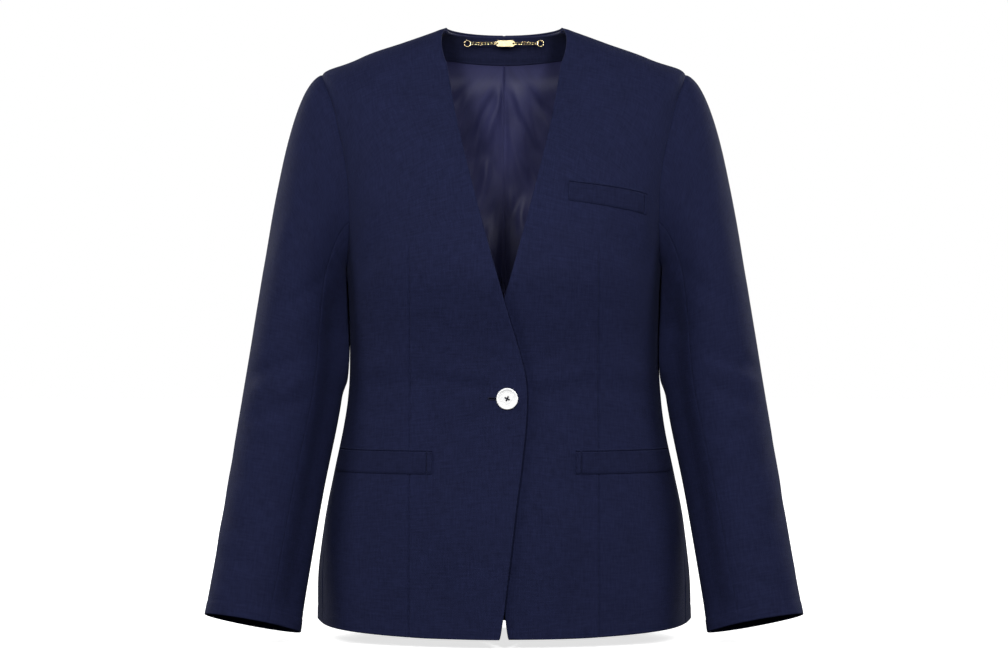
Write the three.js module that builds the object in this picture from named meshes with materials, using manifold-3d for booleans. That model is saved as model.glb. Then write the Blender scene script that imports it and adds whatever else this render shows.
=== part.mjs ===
// A collarless one-button blazer in the hollow form that it has when it is worn, in millimetres.
// +X is the wearer's left, +Y the wearer's back and +Z up. The origin is midway between the two
// high shoulder points, where the shoulder seams meet the neck.
import * as THREE from "three";
import Module from "manifold-3d";

const wasm = await Module();
wasm.setup();

// Driving sizes
const CLOTH = 1.8; // wall of the shell cloth with its fusing
const LINING = 0.9;
const FACING = 1.2;
const SEAM_INSET = 0.17; // each piece stops this short of a seam line
const LAYER_GAP = 0.35; // clear space between cloth layers that lie on each other
const LINING_STAND = -2.15; // the lining's outer face, from the outside of the cloth
const FACING_STAND = -4.2; // the same for the neck facing
const LINING_HEM = 0.32; // the ring that the lining ends at
const OVERLAP_LIFT = 1.2; // the upper front rises and the under front sinks this much where they overlap
const SIDE_CLEARANCE = 1.3; // between a sleeve and the side of the body
const BUTTON = { x: 3.4, z: -406, radius: 11.5, thick: 3.2, rim: 1.7, holeRadius: 0.95, holeAt: 2.0 };
const BUTTONHOLE = { length: 22, width: 1.0, depth: 8 };
const CHAIN = { ringX: 40.7, z: -13, ringRadius: 3.55, wire: 0.62, linkWire: 0.4, links: 9 };
const PLATE = { x: 1.6, length: 22, height: 7.2, thick: 1.1, holeRadius: 1.05, holeInset: 2.0 };

// Rings round the body from hem to neck. zSide, zFront and zBack are the ring's heights at the side,
// front and back, half its half width, yMid where it is widest, front and back its depths from there,
// and square the exponent of its superellipse.
const RINGS = [
  { zSide: -651, zFront: -661, zBack: -663, half: 205.7, yMid: 14, front: 142, back: 106, square: 2.3 },
  { zSide: -600, zFront: -604, zBack: -605, half: 204.5, yMid: 14, front: 141, back: 108, square: 2.3 },
  { zSide: -545, zFront: -546, zBack: -546, half: 198.5, yMid: 13, front: 138, back: 107, square: 2.3 },
  { zSide: -490, zFront: -490, zBack: -490, half: 187.5, yMid: 12, front: 132, back: 101, square: 2.35 },
  { zSide: -440, zFront: -440, zBack: -440, half: 176.5, yMid: 11, front: 127, back: 92, square: 2.4 },
  { zSide: -392, zFront: -392, zBack: -392, half: 171.0, yMid: 11, front: 126, back: 86, square: 2.4 },
  { zSide: -348, zFront: -348, zBack: -348, half: 169.5, yMid: 11, front: 129, back: 88, square: 2.45 },
  { zSide: -308, zFront: -308, zBack: -308, half: 170.5, yMid: 11, front: 137, back: 94, square: 2.5 },
  { zSide: -272, zFront: -275, zBack: -275, half: 173.0, yMid: 9, front: 140, back: 101, square: 2.5 },
  { zSide: -226, zFront: -241, zBack: -238, half: 178.0, yMid: 6, front: 132, back: 107, square: 2.55 },
  { zSide: -180, zFront: -208, zBack: -206, half: 183.0, yMid: 5, front: 122, back: 109, square: 2.6 },
  { zSide: -135, zFront: -177, zBack: -172, half: 188.5, yMid: 4, front: 111, back: 107, square: 2.6 },
  { zSide: -92, zFront: -147, zBack: -133, half: 195.0, yMid: 2, front: 98, back: 101, square: 2.45 },
  { zSide: -56, zFront: -122, zBack: -95, half: 191.5, yMid: 0, front: 85, back: 92, square: 2.3 },
  { zSide: -33.8, zFront: -105, zBack: -63, half: 157.0, yMid: 0, front: 74, back: 83, square: 2.25 },
  { zSide: -17, zFront: -91, zBack: -34, half: 111.0, yMid: 0, front: 65, back: 76, square: 2.3 },
  { zSide: 0, zFront: -80, zBack: -3, half: 64.0, yMid: 0, front: 54, back: 62, square: 2.1 },
];
const HEM = 0;
const UNDERARM = 8;
const SHOULDER_POINT = 13;
const FACING_EDGE = 15;
const NECK = 16;

// The squared end of the padded shoulder: how far it stands out and up, and how many rings and what
// power of the angle's cosine keep it local.
const SHOULDER_CORNER = { out: 8, up: 4, rings: 0.5, power: 12 };

// The front edge from the rounded hem corner, by the button, to the neck. x is how far the edge lies
// from the centre line on its own side, so a negative x passes the centre.
const FRONT_EDGE = [
  { z: -661, x: 9.5 },
  { z: -656, x: 4.4 },
  { z: -593, x: -3.8 },
  { z: -520, x: -12.4 },
  { z: -455, x: -20.4 },
  { z: -412, x: -23.4 },
  { z: -380, x: -21.4 },
  { z: -344, x: -12.0 },
  { z: -304, x: 0.0 },
  { z: -215, x: 24.4 },
  { z: -115, x: 49.5 },
  { z: -42, x: 63.0 },
];
const EDGE_AT_UNDERARM = 9.1; // where along FRONT_EDGE the row that ends at the underarm begins
const BACK_AT_UNDERARM = 9.6; // the same on the centre back, in rings

const SIDE_SEAM = { hem: -18, underarm: -6 }; // degrees round from the widest point, front negative
const DART = { x: 101, topZ: -236, topFraction: 0.5, groove: 0.8, halfWidth: 2.2 };
const ARMHOLE = { topZ: -52, bottomZ: -272, front: 56, back: 63, frontScoop: 0.22, backScoop: 0.08 };

// Rings of the wearer's left sleeve below the armhole: centre, half width across, half depth from
// front to back, and how far the ring's outer side and front side rise per millimetre across.
const SLEEVE_RINGS = [
  { x: 217.5, y: -10, z: -288, across: 46.5, deep: 61, riseOut: 0.42, riseFront: 0.0 },
  { x: 228.4, y: -20, z: -392, across: 53.4, deep: 55, riseOut: 0.18, riseFront: 0.04 },
  { x: 246.8, y: -34, z: -499, across: 52.0, deep: 50, riseOut: 0.18, riseFront: 0.1 },
  { x: 263.2, y: -52, z: -602, across: 51.4, deep: 45, riseOut: 0.185, riseFront: 0.17 },
  { x: 270.6, y: -61.5, z: -648.5, across: 52.2, deep: 41, riseOut: 0.18, riseFront: 0.2 },
];
const SLEEVE_SEAM = { armhole: 120, cuff: 113 }; // degrees from the outer side, to front and back
const SLEEVE_HEAD = { outward: 2.0, underOutward: 0.55, start: 0.1, startMin: 8, end: 0.46 };

// Soft folds: a ridge (height above 0) or trough across a piece. On the sleeve u is the angle from
// the outer side towards the front and v the height; both sleeves share the table.
const SLEEVE_FOLDS = [
  { angle: 60, z: -372, wide: 42, tall: 15, height: -2.6 },
  { angle: 70, z: -412, wide: 50, tall: 16, height: -2.2 },
  { angle: -60, z: -560, wide: 60, tall: 22, height: 2.0 },
  { angle: -40, z: -520, wide: 46, tall: 20, height: -2.2 },
  { angle: 130, z: -330, wide: 60, tall: 18, height: -1.6 },
];
const SKIRT_WAVES = { height: 2.4, count: 7, fromZ: -470 };

const HIP_WELT = { innerX: 77, topZ: -461, bottomZ: -486, endShort: 2.5, thick: 1.5 };
const BREAST_WELT = {
  innerX: 70, outerX: 153, innerTopZ: -174, innerBottomZ: -195, outerTopZ: -186.5, outerBottomZ: -209.5,
  thick: 1.4,
};

// Grid counts
const LOWER_ROWS = 17;
const UPPER_ROWS = 12;
const NECK_ROWS = 6; // those of the back's upper rows that fan out along its neck
const EDGE_COLUMNS = 5;
const SIDE_COLUMNS = 5;
const BACK_COLUMNS = 8;
const SLEEVE_HEAD_ROWS = 8;
const SLEEVE_ROWS = 11;

const radians = THREE.MathUtils.degToRad;
const lerp = THREE.MathUtils.lerp;
const clamp = THREE.MathUtils.clamp;
const smooth = (low, high, value) => {
  const f = clamp((value - low) / (high - low), 0, 1);
  return f * f * (3 - 2 * f);
};

// One named column of a table as a smooth curve through its rows.
function column(rows, name, at) {
  const last = rows.length - 1;
  const i = clamp(Math.floor(at), 0, last - 1);
  const f = at - i;
  const value = (k) => {
    if (k < 0) return 2 * rows[0][name] - rows[1][name];
    if (k > last) return 2 * rows[last][name] - rows[last - 1][name];
    return rows[k][name];
  };
  const [a, b, c, d] = [value(i - 1), value(i), value(i + 1), value(i + 2)];
  return b + 0.5 * f * (c - a + f * (2 * a - 5 * b + 4 * c - d + f * (3 * (b - c) + d - a)));
}

function bisect(low, high, isBelow) {
  let [a, b] = [low, high];
  for (let k = 0; k < 48; k++) {
    const middle = (a + b) / 2;
    if (isBelow(middle)) a = middle;
    else b = middle;
  }
  return (a + b) / 2;
}

// The body surface: angle 0 is the wearer's left side, -90 the front and 90 the back, and each angle
// is that of the ellipse's parameter, so that equal steps crowd where a ring bends most.
function bodyPoint(angle, ring) {
  const c = Math.cos(radians(angle));
  const s = Math.sin(radians(angle));
  const facing = s < 0 ? "front" : "back";
  const half = column(RINGS, "half", ring);
  const depth = column(RINGS, facing, ring);
  const n = column(RINGS, "square", ring);
  const zSide = column(RINGS, "zSide", ring);
  const zFace = column(RINGS, s < 0 ? "zFront" : "zBack", ring);
  const r = (Math.abs(c) ** n + Math.abs(s) ** n) ** (-1 / n);
  const z = zSide + (zFace - zSide) * s * s;
  const wave = SKIRT_WAVES.height * smooth(SKIRT_WAVES.fromZ, -661, z) * Math.abs(c) ** 0.5;
  const out = 1 + (wave * Math.sin(radians(angle * SKIRT_WAVES.count))) / half;
  const corner = Math.exp(-(((ring - SHOULDER_POINT) / SHOULDER_CORNER.rings) ** 2))
    * Math.abs(c) ** SHOULDER_CORNER.power;
  return new THREE.Vector3(
    half * r * c * out + Math.sign(c) * SHOULDER_CORNER.out * corner,
    column(RINGS, "yMid", ring) + depth * r * s * out,
    z + SHOULDER_CORNER.up * corner,
  );
}

function normalOf(surface, u, v, stepU, stepV) {
  const du = surface(u + stepU, v).sub(surface(u - stepU, v));
  const dv = surface(u, v + stepV).sub(surface(u, v - stepV));
  return du.cross(dv).normalize();
}

function bodyNormal(angle, ring) {
  return normalOf(bodyPoint, angle, clamp(ring, 0.02, NECK - 0.02), 0.5, 0.02);
}

// The place on the front, or with side 1 on the back, that is seen at x and z from the front.
function onFront(x, z, side = -1) {
  const angleAt = (ring) => side * bisect(0, 178, (a) => bodyPoint(side * a, ring).x > x);
  const ring = bisect(HEM - 0.4, NECK, (t) => {
    if (column(RINGS, "half", t) <= x) return false;
    return bodyPoint(angleAt(t), t).z < z;
  });
  return { angle: angleAt(ring), ring };
}

// The place on the side of the body that is seen at y and z from the side.
function onSide(y, z) {
  const angleAt = (ring) => bisect(-90, 90, (a) => bodyPoint(a, ring).y < y);
  const ring = bisect(UNDERARM - 3, NECK, (t) => bodyPoint(angleAt(t), t).z < z);
  return { angle: angleAt(ring), ring };
}

// The armhole seam: turn 0 is the shoulder point, 90 the front, 180 the underarm and 270 the back.
function armholePlace(turn) {
  const s = Math.sin(radians(turn));
  const c = Math.cos(radians(turn));
  const z = lerp(ARMHOLE.bottomZ, ARMHOLE.topZ, (1 + c) / 2);
  const underarmY = bodyPoint(SIDE_SEAM.underarm, UNDERARM).y;
  const middle = (underarmY * (1 - c)) / 2;
  const y = s >= 0 ? middle - ARMHOLE.front * s * (1 - ARMHOLE.frontScoop * c)
    : middle - ARMHOLE.back * s * (1 - ARMHOLE.backScoop * c);
  if (turn === 0 || turn === 360) return { angle: 0, ring: SHOULDER_POINT };
  if (turn === 180) return { angle: SIDE_SEAM.underarm, ring: UNDERARM };
  return onSide(y, z);
}

const ARMHOLE_STEP = 180 / UPPER_ROWS;
const armholePlaces = [];
for (let k = 0; k <= 2 * UPPER_ROWS; k++) armholePlaces.push(armholePlace(k * ARMHOLE_STEP));

const mixPlaces = (a, b, f) => ({ angle: lerp(a.angle, b.angle, f), ring: lerp(a.ring, b.ring, f) });

// Rows of a body panel: each row runs from an inner place to an outer one. Row 0 is the hem, row
// LOWER_ROWS ends at the underarm and the last row is the shoulder seam.
const HEM_ROW_RING = 0.1; // the second row, just above the hem
function sidePlace(row) {
  const f = row / LOWER_ROWS;
  const ring = row === 0 ? HEM : lerp(HEM_ROW_RING, UNDERARM, (row - 1) / (LOWER_ROWS - 1));
  return { angle: lerp(SIDE_SEAM.hem, SIDE_SEAM.underarm, f), ring };
}

function frontRows() {
  const rows = [];
  for (let row = 0; row <= LOWER_ROWS + UPPER_ROWS; row++) {
    let inner;
    let at = row;
    if (row > 1) at = lerp(1, EDGE_AT_UNDERARM, (row - 1) / (LOWER_ROWS - 1));
    if (row > LOWER_ROWS) {
      at = lerp(EDGE_AT_UNDERARM, FRONT_EDGE.length, (row - LOWER_ROWS) / UPPER_ROWS);
    }
    const z = column(FRONT_EDGE, "z", at);
    const x = column(FRONT_EDGE, "x", at);
    if (row === LOWER_ROWS + UPPER_ROWS) inner = { angle: 0, ring: NECK };
    else if (row === 0) inner = { angle: onFront(x, z + 0.5).angle, ring: HEM };
    else inner = onFront(x, z);
    const outer = row <= LOWER_ROWS ? sidePlace(row)
      : armholePlaces[LOWER_ROWS + UPPER_ROWS - row];
    rows.push({ inner, outer });
  }
  return rows;
}

function backRows(hemRing) {
  const rows = [];
  const total = LOWER_ROWS + UPPER_ROWS;
  for (let row = 0; row <= total; row++) {
    let inner;
    if (row <= LOWER_ROWS) {
      const f = row === 0 ? 0 : (row - 1) / (LOWER_ROWS - 1);
      const low = row === 0 ? HEM : HEM_ROW_RING;
      inner = { angle: 90, ring: Math.max(hemRing, lerp(low, BACK_AT_UNDERARM, f)) };
    } else if (row <= total - NECK_ROWS) {
      const f = (row - LOWER_ROWS) / (UPPER_ROWS - NECK_ROWS);
      inner = { angle: 90, ring: lerp(BACK_AT_UNDERARM, NECK, f) };
    } else {
      inner = { angle: (90 * (total - row)) / NECK_ROWS, ring: NECK };
    }
    const outer = row <= LOWER_ROWS ? sidePlace(row) : armholePlaces[row - LOWER_ROWS + UPPER_ROWS];
    rows.push({ inner, outer: { angle: outer.angle, ring: Math.max(hemRing, outer.ring) } });
  }
  return rows;
}

// How far along a front row the dart lies. Above the dart's tip the column runs on to the shoulder.
function dartFraction(row, isBelowTip, tipFraction, rise) {
  if (!isBelowTip) return lerp(tipFraction, DART.topFraction, rise);
  return bisect(0, 1, (f) => {
    const place = mixPlaces(row.inner, row.outer, f);
    return bodyPoint(place.angle, place.ring).x < DART.x;
  });
}

// Places of the front panel as a grid, with three close columns on the dart for its groove.
function frontPlaces() {
  const rows = frontRows();
  const bodyOf = (place) => bodyPoint(place.angle, place.ring);
  let tipRow = 0;
  let tipFraction = DART.topFraction;
  return rows.map((row, i) => {
    const guess = mixPlaces(row.inner, row.outer, DART.topFraction);
    const isBelowTip = i <= LOWER_ROWS && bodyOf(guess).z < DART.topZ;
    const rise = isBelowTip ? 0 : (i - tipRow) / (rows.length - 1 - tipRow);
    const f = dartFraction(row, isBelowTip, tipFraction, rise);
    if (isBelowTip) {
      tipRow = i;
      tipFraction = f;
    }
    const across = bodyOf(row.inner).distanceTo(bodyOf(row.outer));
    const near = DART.halfWidth / across;
    const fractions = [];
    for (let j = 0; j < EDGE_COLUMNS; j++) fractions.push(((f - near) * j) / (EDGE_COLUMNS - 1));
    fractions.push(f);
    for (let j = 0; j <= SIDE_COLUMNS; j++) fractions.push(lerp(f + near, 1, j / SIDE_COLUMNS));
    return fractions.map((g, j) => ({
      ...mixPlaces(row.inner, row.outer, g),
      groove: isBelowTip && j === EDGE_COLUMNS ? DART.groove : 0,
    }));
  });
}

function evenPlaces(rows, columns) {
  return rows.map((row) => {
    const places = [];
    for (let j = 0; j <= columns; j++) places.push(mixPlaces(row.inner, row.outer, j / columns));
    return places;
  });
}

// The upper front rises, and the under front sinks, where they overlap.
function overlapLift(point, sign) {
  const across = 1 - smooth(26, 62, point.x);
  const along = 1 - smooth(-296, -205, point.z);
  return sign * OVERLAP_LIFT * across * along;
}

// Draws the named sides of a grid of points in from their seam line.
function inset(grid, sides) {
  const last = grid.length - 1;
  const end = grid[0].length - 1;
  const pull = (p, q) => p.add(q.clone().sub(p).setLength(SEAM_INSET));
  if (sides.includes("first")) grid.forEach((row) => pull(row[0], row[1]));
  if (sides.includes("last")) grid.forEach((row) => pull(row[end], row[end - 1]));
  if (sides.includes("top")) grid[last].forEach((p, j) => pull(p, grid[last - 1][j]));
  return grid;
}

// A closed wall between an outer and an inner grid of points, as a geometry with its faces out.
function wall(outer, inner) {
  const rows = outer.length;
  const columns = outer[0].length;
  const positions = [];
  [outer, inner].forEach((grid) => grid.forEach((row) => row.forEach((p) => positions.push(p.x, p.y, p.z))));
  const at = (layer, i, j) => layer * rows * columns + i * columns + j;
  const faces = [];
  const quad = (a, b, c, d) => faces.push(a, b, c, a, c, d);
  for (let i = 0; i < rows - 1; i++) {
    for (let j = 0; j < columns - 1; j++) {
      quad(at(0, i, j), at(0, i, j + 1), at(0, i + 1, j + 1), at(0, i + 1, j));
      quad(at(1, i, j), at(1, i + 1, j), at(1, i + 1, j + 1), at(1, i, j + 1));
    }
    const end = columns - 1;
    quad(at(0, i, 0), at(0, i + 1, 0), at(1, i + 1, 0), at(1, i, 0));
    quad(at(0, i, end), at(1, i, end), at(1, i + 1, end), at(0, i + 1, end));
  }
  for (let j = 0; j < columns - 1; j++) {
    const top = rows - 1;
    quad(at(0, 0, j), at(1, 0, j), at(1, 0, j + 1), at(0, 0, j + 1));
    quad(at(0, top, j), at(0, top, j + 1), at(1, top, j + 1), at(1, top, j));
  }
  return facingOut(positions, faces);
}

function facingOut(positions, faces) {
  const corner = (k) => new THREE.Vector3().fromArray(positions, 3 * k);
  let volume = 0;
  for (let k = 0; k < faces.length; k += 3) {
    volume += corner(faces[k]).dot(corner(faces[k + 1]).cross(corner(faces[k + 2])));
  }
  if (volume < 0) {
    for (let k = 0; k < faces.length; k += 3) [faces[k + 1], faces[k + 2]] = [faces[k + 2], faces[k + 1]];
  }
  const geometry = new THREE.BufferGeometry();
  geometry.setAttribute("position", new THREE.Float32BufferAttribute(positions, 3));
  geometry.setIndex(faces);
  geometry.computeVertexNormals();
  return geometry;
}

// A body panel from its places: outside is how far its outer face stands off the body surface.
function bodyPanel(places, thick, sides, outside) {
  const layer = (depth) => places.map((row) => row.map((place) => {
    const point = bodyPoint(place.angle, place.ring);
    const stand = outside(point, place) - depth;
    return point.addScaledVector(bodyNormal(place.angle, place.ring), stand);
  }));
  return wall(inset(layer(0), sides), inset(layer(thick), sides));
}

function mirrored(geometry) {
  const positions = Array.from(geometry.attributes.position.array);
  for (let k = 0; k < positions.length; k += 3) positions[k] = -positions[k];
  return facingOut(positions, Array.from(geometry.index.array));
}

// Where the side of the body is at a height, for a sleeve that hangs against it.
function sideOfBody(y, z) {
  const ring = bisect(0, UNDERARM, (t) => column(RINGS, "zSide", t) < z);
  const n = column(RINGS, "square", ring);
  const off = y - column(RINGS, "yMid", ring);
  const depth = column(RINGS, off < 0 ? "front" : "back", ring);
  return column(RINGS, "half", ring) * Math.max(0, 1 - Math.abs(off / depth) ** n) ** (1 / n);
}

const greaterOf = (a, b, soft) => (a + b + Math.hypot(a - b, soft)) / 2;

// The sleeve tube below its head: at runs along SLEEVE_RINGS, turn is as on the armhole.
function tubePoint(turn, at) {
  const seam = lerp(SLEEVE_SEAM.armhole, SLEEVE_SEAM.cuff, clamp(at / (SLEEVE_RINGS.length - 1), 0, 1));
  const signed = turn > 180 ? turn - 360 : turn;
  const beyond = Math.abs(signed) - SLEEVE_SEAM.armhole;
  const reach = beyond < 0 ? (Math.abs(signed) * seam) / SLEEVE_SEAM.armhole
    : seam + (beyond * (180 - seam)) / (180 - SLEEVE_SEAM.armhole);
  const angle = radians(Math.sign(signed) * reach);
  const out = column(SLEEVE_RINGS, "across", at) * Math.cos(angle);
  const front = column(SLEEVE_RINGS, "deep", at) * Math.sin(angle);
  const rise = out * column(SLEEVE_RINGS, "riseOut", at) + front * column(SLEEVE_RINGS, "riseFront", at);
  return new THREE.Vector3(
    column(SLEEVE_RINGS, "x", at) + out,
    column(SLEEVE_RINGS, "y", at) - front,
    column(SLEEVE_RINGS, "z", at) + rise,
  );
}

function armholePoint(turn) {
  const at = turn / ARMHOLE_STEP;
  const k = clamp(Math.floor(at), 0, 2 * UPPER_ROWS - 1);
  const place = mixPlaces(armholePlaces[k], armholePlaces[k + 1], at - k);
  return bodyPoint(place.angle, place.ring);
}

// The sleeve's outer face: along is -1 at the armhole, 0 where the head ends and then as in tubePoint.
function sleevePoint(turn, along) {
  const angle = ((turn % 360) + 360) % 360;
  const point = along >= 0 ? tubePoint(angle, along) : headPoint(angle, along + 1);
  const signed = angle > 180 ? angle - 360 : angle;
  let swell = 0;
  SLEEVE_FOLDS.forEach((fold) => {
    const a = (signed - fold.angle) / fold.wide;
    const b = (point.z - fold.z) / fold.tall;
    swell += fold.height * Math.exp(-a * a - b * b);
  });
  const centre = new THREE.Vector3(column(SLEEVE_RINGS, "x", along), column(SLEEVE_RINGS, "y", along), point.z);
  point.addScaledVector(centre.sub(point).setZ(0).normalize(), -swell);
  if (point.z < -262) {
    point.x = greaterOf(point.x, sideOfBody(point.y, point.z) + SIDE_CLEARANCE, 1.2);
  }
  return point;
}

function headPoint(turn, f) {
  const start = armholePoint(turn);
  const end = tubePoint(turn, 0);
  const span = end.clone().sub(start);
  const distance = span.length();
  const under = (1 - Math.cos(radians(turn))) / 2;
  const outward = lerp(SLEEVE_HEAD.outward, SLEEVE_HEAD.underOutward, under);
  const away = span.normalize().add(new THREE.Vector3(outward, 0, 0.35 * (1 - under))).normalize();
  const along = tubePoint(turn, 0.02).sub(end).normalize();
  const first = start.clone().addScaledVector(away, SLEEVE_HEAD.start * distance + SLEEVE_HEAD.startMin);
  const second = end.clone().addScaledVector(along, -SLEEVE_HEAD.end * distance);
  return new THREE.CubicBezierCurve3(start, first, second, end).getPoint(f);
}

function sleevePiece(fromTurn, toTurn, columns) {
  const alongs = [];
  for (let i = 0; i < SLEEVE_HEAD_ROWS; i++) alongs.push(-1 + (i / SLEEVE_HEAD_ROWS) ** 1.25);
  for (let i = 0; i <= SLEEVE_ROWS; i++) alongs.push(((SLEEVE_RINGS.length - 1) * i) / SLEEVE_ROWS);
  const layer = (depth) => alongs.map((along, i) => {
    const row = [];
    for (let j = 0; j <= columns; j++) {
      const turn = lerp(fromTurn, toTurn, j / columns);
      const safe = clamp(along, -0.985, SLEEVE_RINGS.length - 1.03);
      const normal = normalOf(sleevePoint, turn, safe, 1, 0.015);
      const point = sleevePoint(turn, i === 0 ? -0.9985 : along);
      row.push(point.addScaledVector(normal, depth));
    }
    return row;
  });
  const [outer, inner] = [layer(0), layer(-CLOTH)];
  const start = (grid) => {
    grid[0].forEach((p, j) => p.add(grid[1][j].clone().sub(p).setLength(2 * SEAM_INSET)));
    return inset(grid, ["first", "last"]);
  };
  return wall(start(outer), start(inner));
}

// A flat strip that lies on the front: four corner places, a column count and its thickness.
function stripOnFront(corners, columns, thick, sign) {
  const rows = [0, 0.5, 1].map((f) => {
    const row = [];
    for (let j = 0; j <= columns; j++) {
      const low = mixPlaces(corners.innerBottom, corners.outerBottom, j / columns);
      const high = mixPlaces(corners.innerTop, corners.outerTop, j / columns);
      row.push(mixPlaces(low, high, f));
    }
    return row;
  });
  return bodyPanel(rows, thick, [], (point) => overlapLift(point, sign) + LAYER_GAP + thick);
}

function hipWelt(sign) {
  const seamAngle = lerp(SIDE_SEAM.hem, SIDE_SEAM.underarm, 0.45) - HIP_WELT.endShort;
  const innerTop = onFront(HIP_WELT.innerX, HIP_WELT.topZ);
  const innerBottom = onFront(HIP_WELT.innerX, HIP_WELT.bottomZ);
  const corners = {
    innerTop,
    innerBottom,
    outerTop: { angle: seamAngle, ring: innerTop.ring },
    outerBottom: { angle: seamAngle - 1, ring: innerBottom.ring },
  };
  return stripOnFront(corners, 10, HIP_WELT.thick, sign);
}

function breastWelt() {
  const w = BREAST_WELT;
  const corners = {
    innerTop: onFront(w.innerX, w.innerTopZ),
    innerBottom: onFront(w.innerX - 1, w.innerBottomZ),
    outerTop: onFront(w.outerX, w.outerTopZ),
    outerBottom: onFront(w.outerX - 2, w.outerBottomZ),
  };
  return stripOnFront(corners, 6, w.thick, -1);
}

// Booleans: a geometry as a manifold-3d solid and back.
function solidOf(geometry, matrix) {
  const moved = geometry.clone();
  if (matrix) moved.applyMatrix4(matrix);
  const merged = weld(moved);
  return new wasm.Manifold(new wasm.Mesh({ numProp: 3, ...merged }));
}

function weld(geometry) {
  const source = geometry.index ? geometry.toNonIndexed() : geometry;
  const array = source.attributes.position.array;
  const known = new Map();
  const vertProperties = [];
  const triVerts = [];
  for (let k = 0; k < array.length; k += 3) {
    const key = [array[k], array[k + 1], array[k + 2]].map((v) => Math.round(v * 1e4)).join();
    if (!known.has(key)) {
      known.set(key, known.size);
      vertProperties.push(array[k], array[k + 1], array[k + 2]);
    }
    triVerts.push(known.get(key));
  }
  const faces = [];
  for (let k = 0; k < triVerts.length; k += 3) {
    const [a, b, c] = triVerts.slice(k, k + 3);
    if (a !== b && b !== c && a !== c) faces.push(a, b, c);
  }
  return { vertProperties: new Float32Array(vertProperties), triVerts: new Uint32Array(faces) };
}

function geometryOf(solid) {
  const mesh = solid.getMesh();
  const geometry = new THREE.BufferGeometry();
  geometry.setAttribute("position", new THREE.BufferAttribute(mesh.vertProperties, 3));
  geometry.setIndex(new THREE.BufferAttribute(mesh.triVerts, 1));
  geometry.computeVertexNormals();
  return geometry;
}

// The frame of a flat thing that lies on the upper front: its z axis points out of the cloth.
function frameOnFront(x, z, stand) {
  const place = onFront(-x, z);
  const point = bodyPoint(place.angle, place.ring);
  const lift = overlapLift(point, 1);
  const normal = bodyNormal(place.angle, place.ring);
  point.addScaledVector(normal, lift + stand);
  point.x *= -1;
  normal.x *= -1;
  const across = new THREE.Vector3(0, 0, 1).cross(normal).normalize();
  const up = normal.clone().cross(across);
  return new THREE.Matrix4().makeBasis(across, up, normal).setPosition(point);
}

function buttonGeometry() {
  const { radius, thick, rim } = BUTTON;
  const profile = [
    [0, 0], [radius - 1.2, 0], [radius - 0.3, 0.5], [radius, 1.3], [radius - 0.25, thick - 0.5],
    [radius - 0.8, thick], [radius - rim, thick - 0.15], [radius - rim - 1.6, thick - 0.9],
    [0, thick - 1.1],
  ].map(([r, z]) => new THREE.Vector2(r, z));
  const disc = new THREE.LatheGeometry(profile, 28).rotateX(Math.PI / 2);
  let solid = solidOf(disc);
  if (solid.volume() < 0) throw new Error("the button's profile is inside out");
  for (let k = 0; k < 4; k++) {
    const turn = radians(62 + 90 * k);
    const hole = new THREE.CylinderGeometry(BUTTON.holeRadius, BUTTON.holeRadius, 3 * thick, 8)
      .rotateX(Math.PI / 2)
      .translate(BUTTON.holeAt * Math.cos(turn), BUTTON.holeAt * Math.sin(turn), 0);
    solid = solid.subtract(solidOf(hole));
  }
  return geometryOf(solid);
}

function withButtonhole(geometry) {
  const { length, width, depth } = BUTTONHOLE;
  const slot = new THREE.BoxGeometry(length, width, depth).translate(-length / 2 + 3, 0, 0);
  return geometryOf(solidOf(geometry).subtract(solidOf(slot, frameOnFront(BUTTON.x, BUTTON.z, 0))));
}

// A closed wire along a loop of points in the XY plane.
function wireLoop(points, wire, sides) {
  const path = points.map((p) => new THREE.Vector3(p[0], p[1], 0));
  const count = path.length;
  const positions = [];
  const faces = [];
  path.forEach((p, i) => {
    const ahead = path[(i + 1) % count].clone().sub(path[(i + count - 1) % count]).normalize();
    const aside = new THREE.Vector3(ahead.y, -ahead.x, 0);
    for (let k = 0; k < sides; k++) {
      const a = (2 * Math.PI * (k + 0.5)) / sides;
      const q = p.clone().addScaledVector(aside, wire * Math.cos(a));
      positions.push(q.x, q.y, wire * Math.sin(a));
      const [i2, k2] = [(i + 1) % count, (k + 1) % sides];
      faces.push(i * sides + k, i2 * sides + k, i2 * sides + k2);
      faces.push(i * sides + k, i2 * sides + k2, i * sides + k2);
    }
  });
  return facingOut(positions, faces);
}

function ovalPoints(halfLength, halfWidth, count) {
  const points = [];
  for (let k = 0; k < count; k++) {
    const a = (2 * Math.PI * (k + 0.5)) / count;
    const straight = halfLength - halfWidth;
    points.push([halfWidth * Math.cos(a) + Math.sign(Math.cos(a)) * straight, halfWidth * Math.sin(a)]);
  }
  return points;
}

function plateGeometry() {
  const { length, height, thick, holeRadius, holeInset } = PLATE;
  const [hx, hy] = [length / 2, height / 2];
  const shape = new THREE.Shape();
  shape.moveTo(-hx, -1.2);
  shape.lineTo(-hx + 2.4, -hy);
  shape.lineTo(hx - 2.4, -hy);
  shape.lineTo(hx, -1.2);
  shape.lineTo(hx, 1.2);
  shape.lineTo(hx - 2.4, hy);
  shape.lineTo(-hx + 2.4, hy);
  shape.lineTo(-hx, 1.2);
  shape.closePath();
  for (const side of [-1, 1]) {
    const hole = new THREE.Path();
    hole.absarc(side * (hx - holeInset), 0, holeRadius, 0, 2 * Math.PI, true);
    shape.holes.push(hole);
  }
  const plate = new THREE.ExtrudeGeometry(shape, { depth: thick, bevelEnabled: false, curveSegments: 4 });
  return plate.translate(0, 0, -thick / 2);
}

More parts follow.
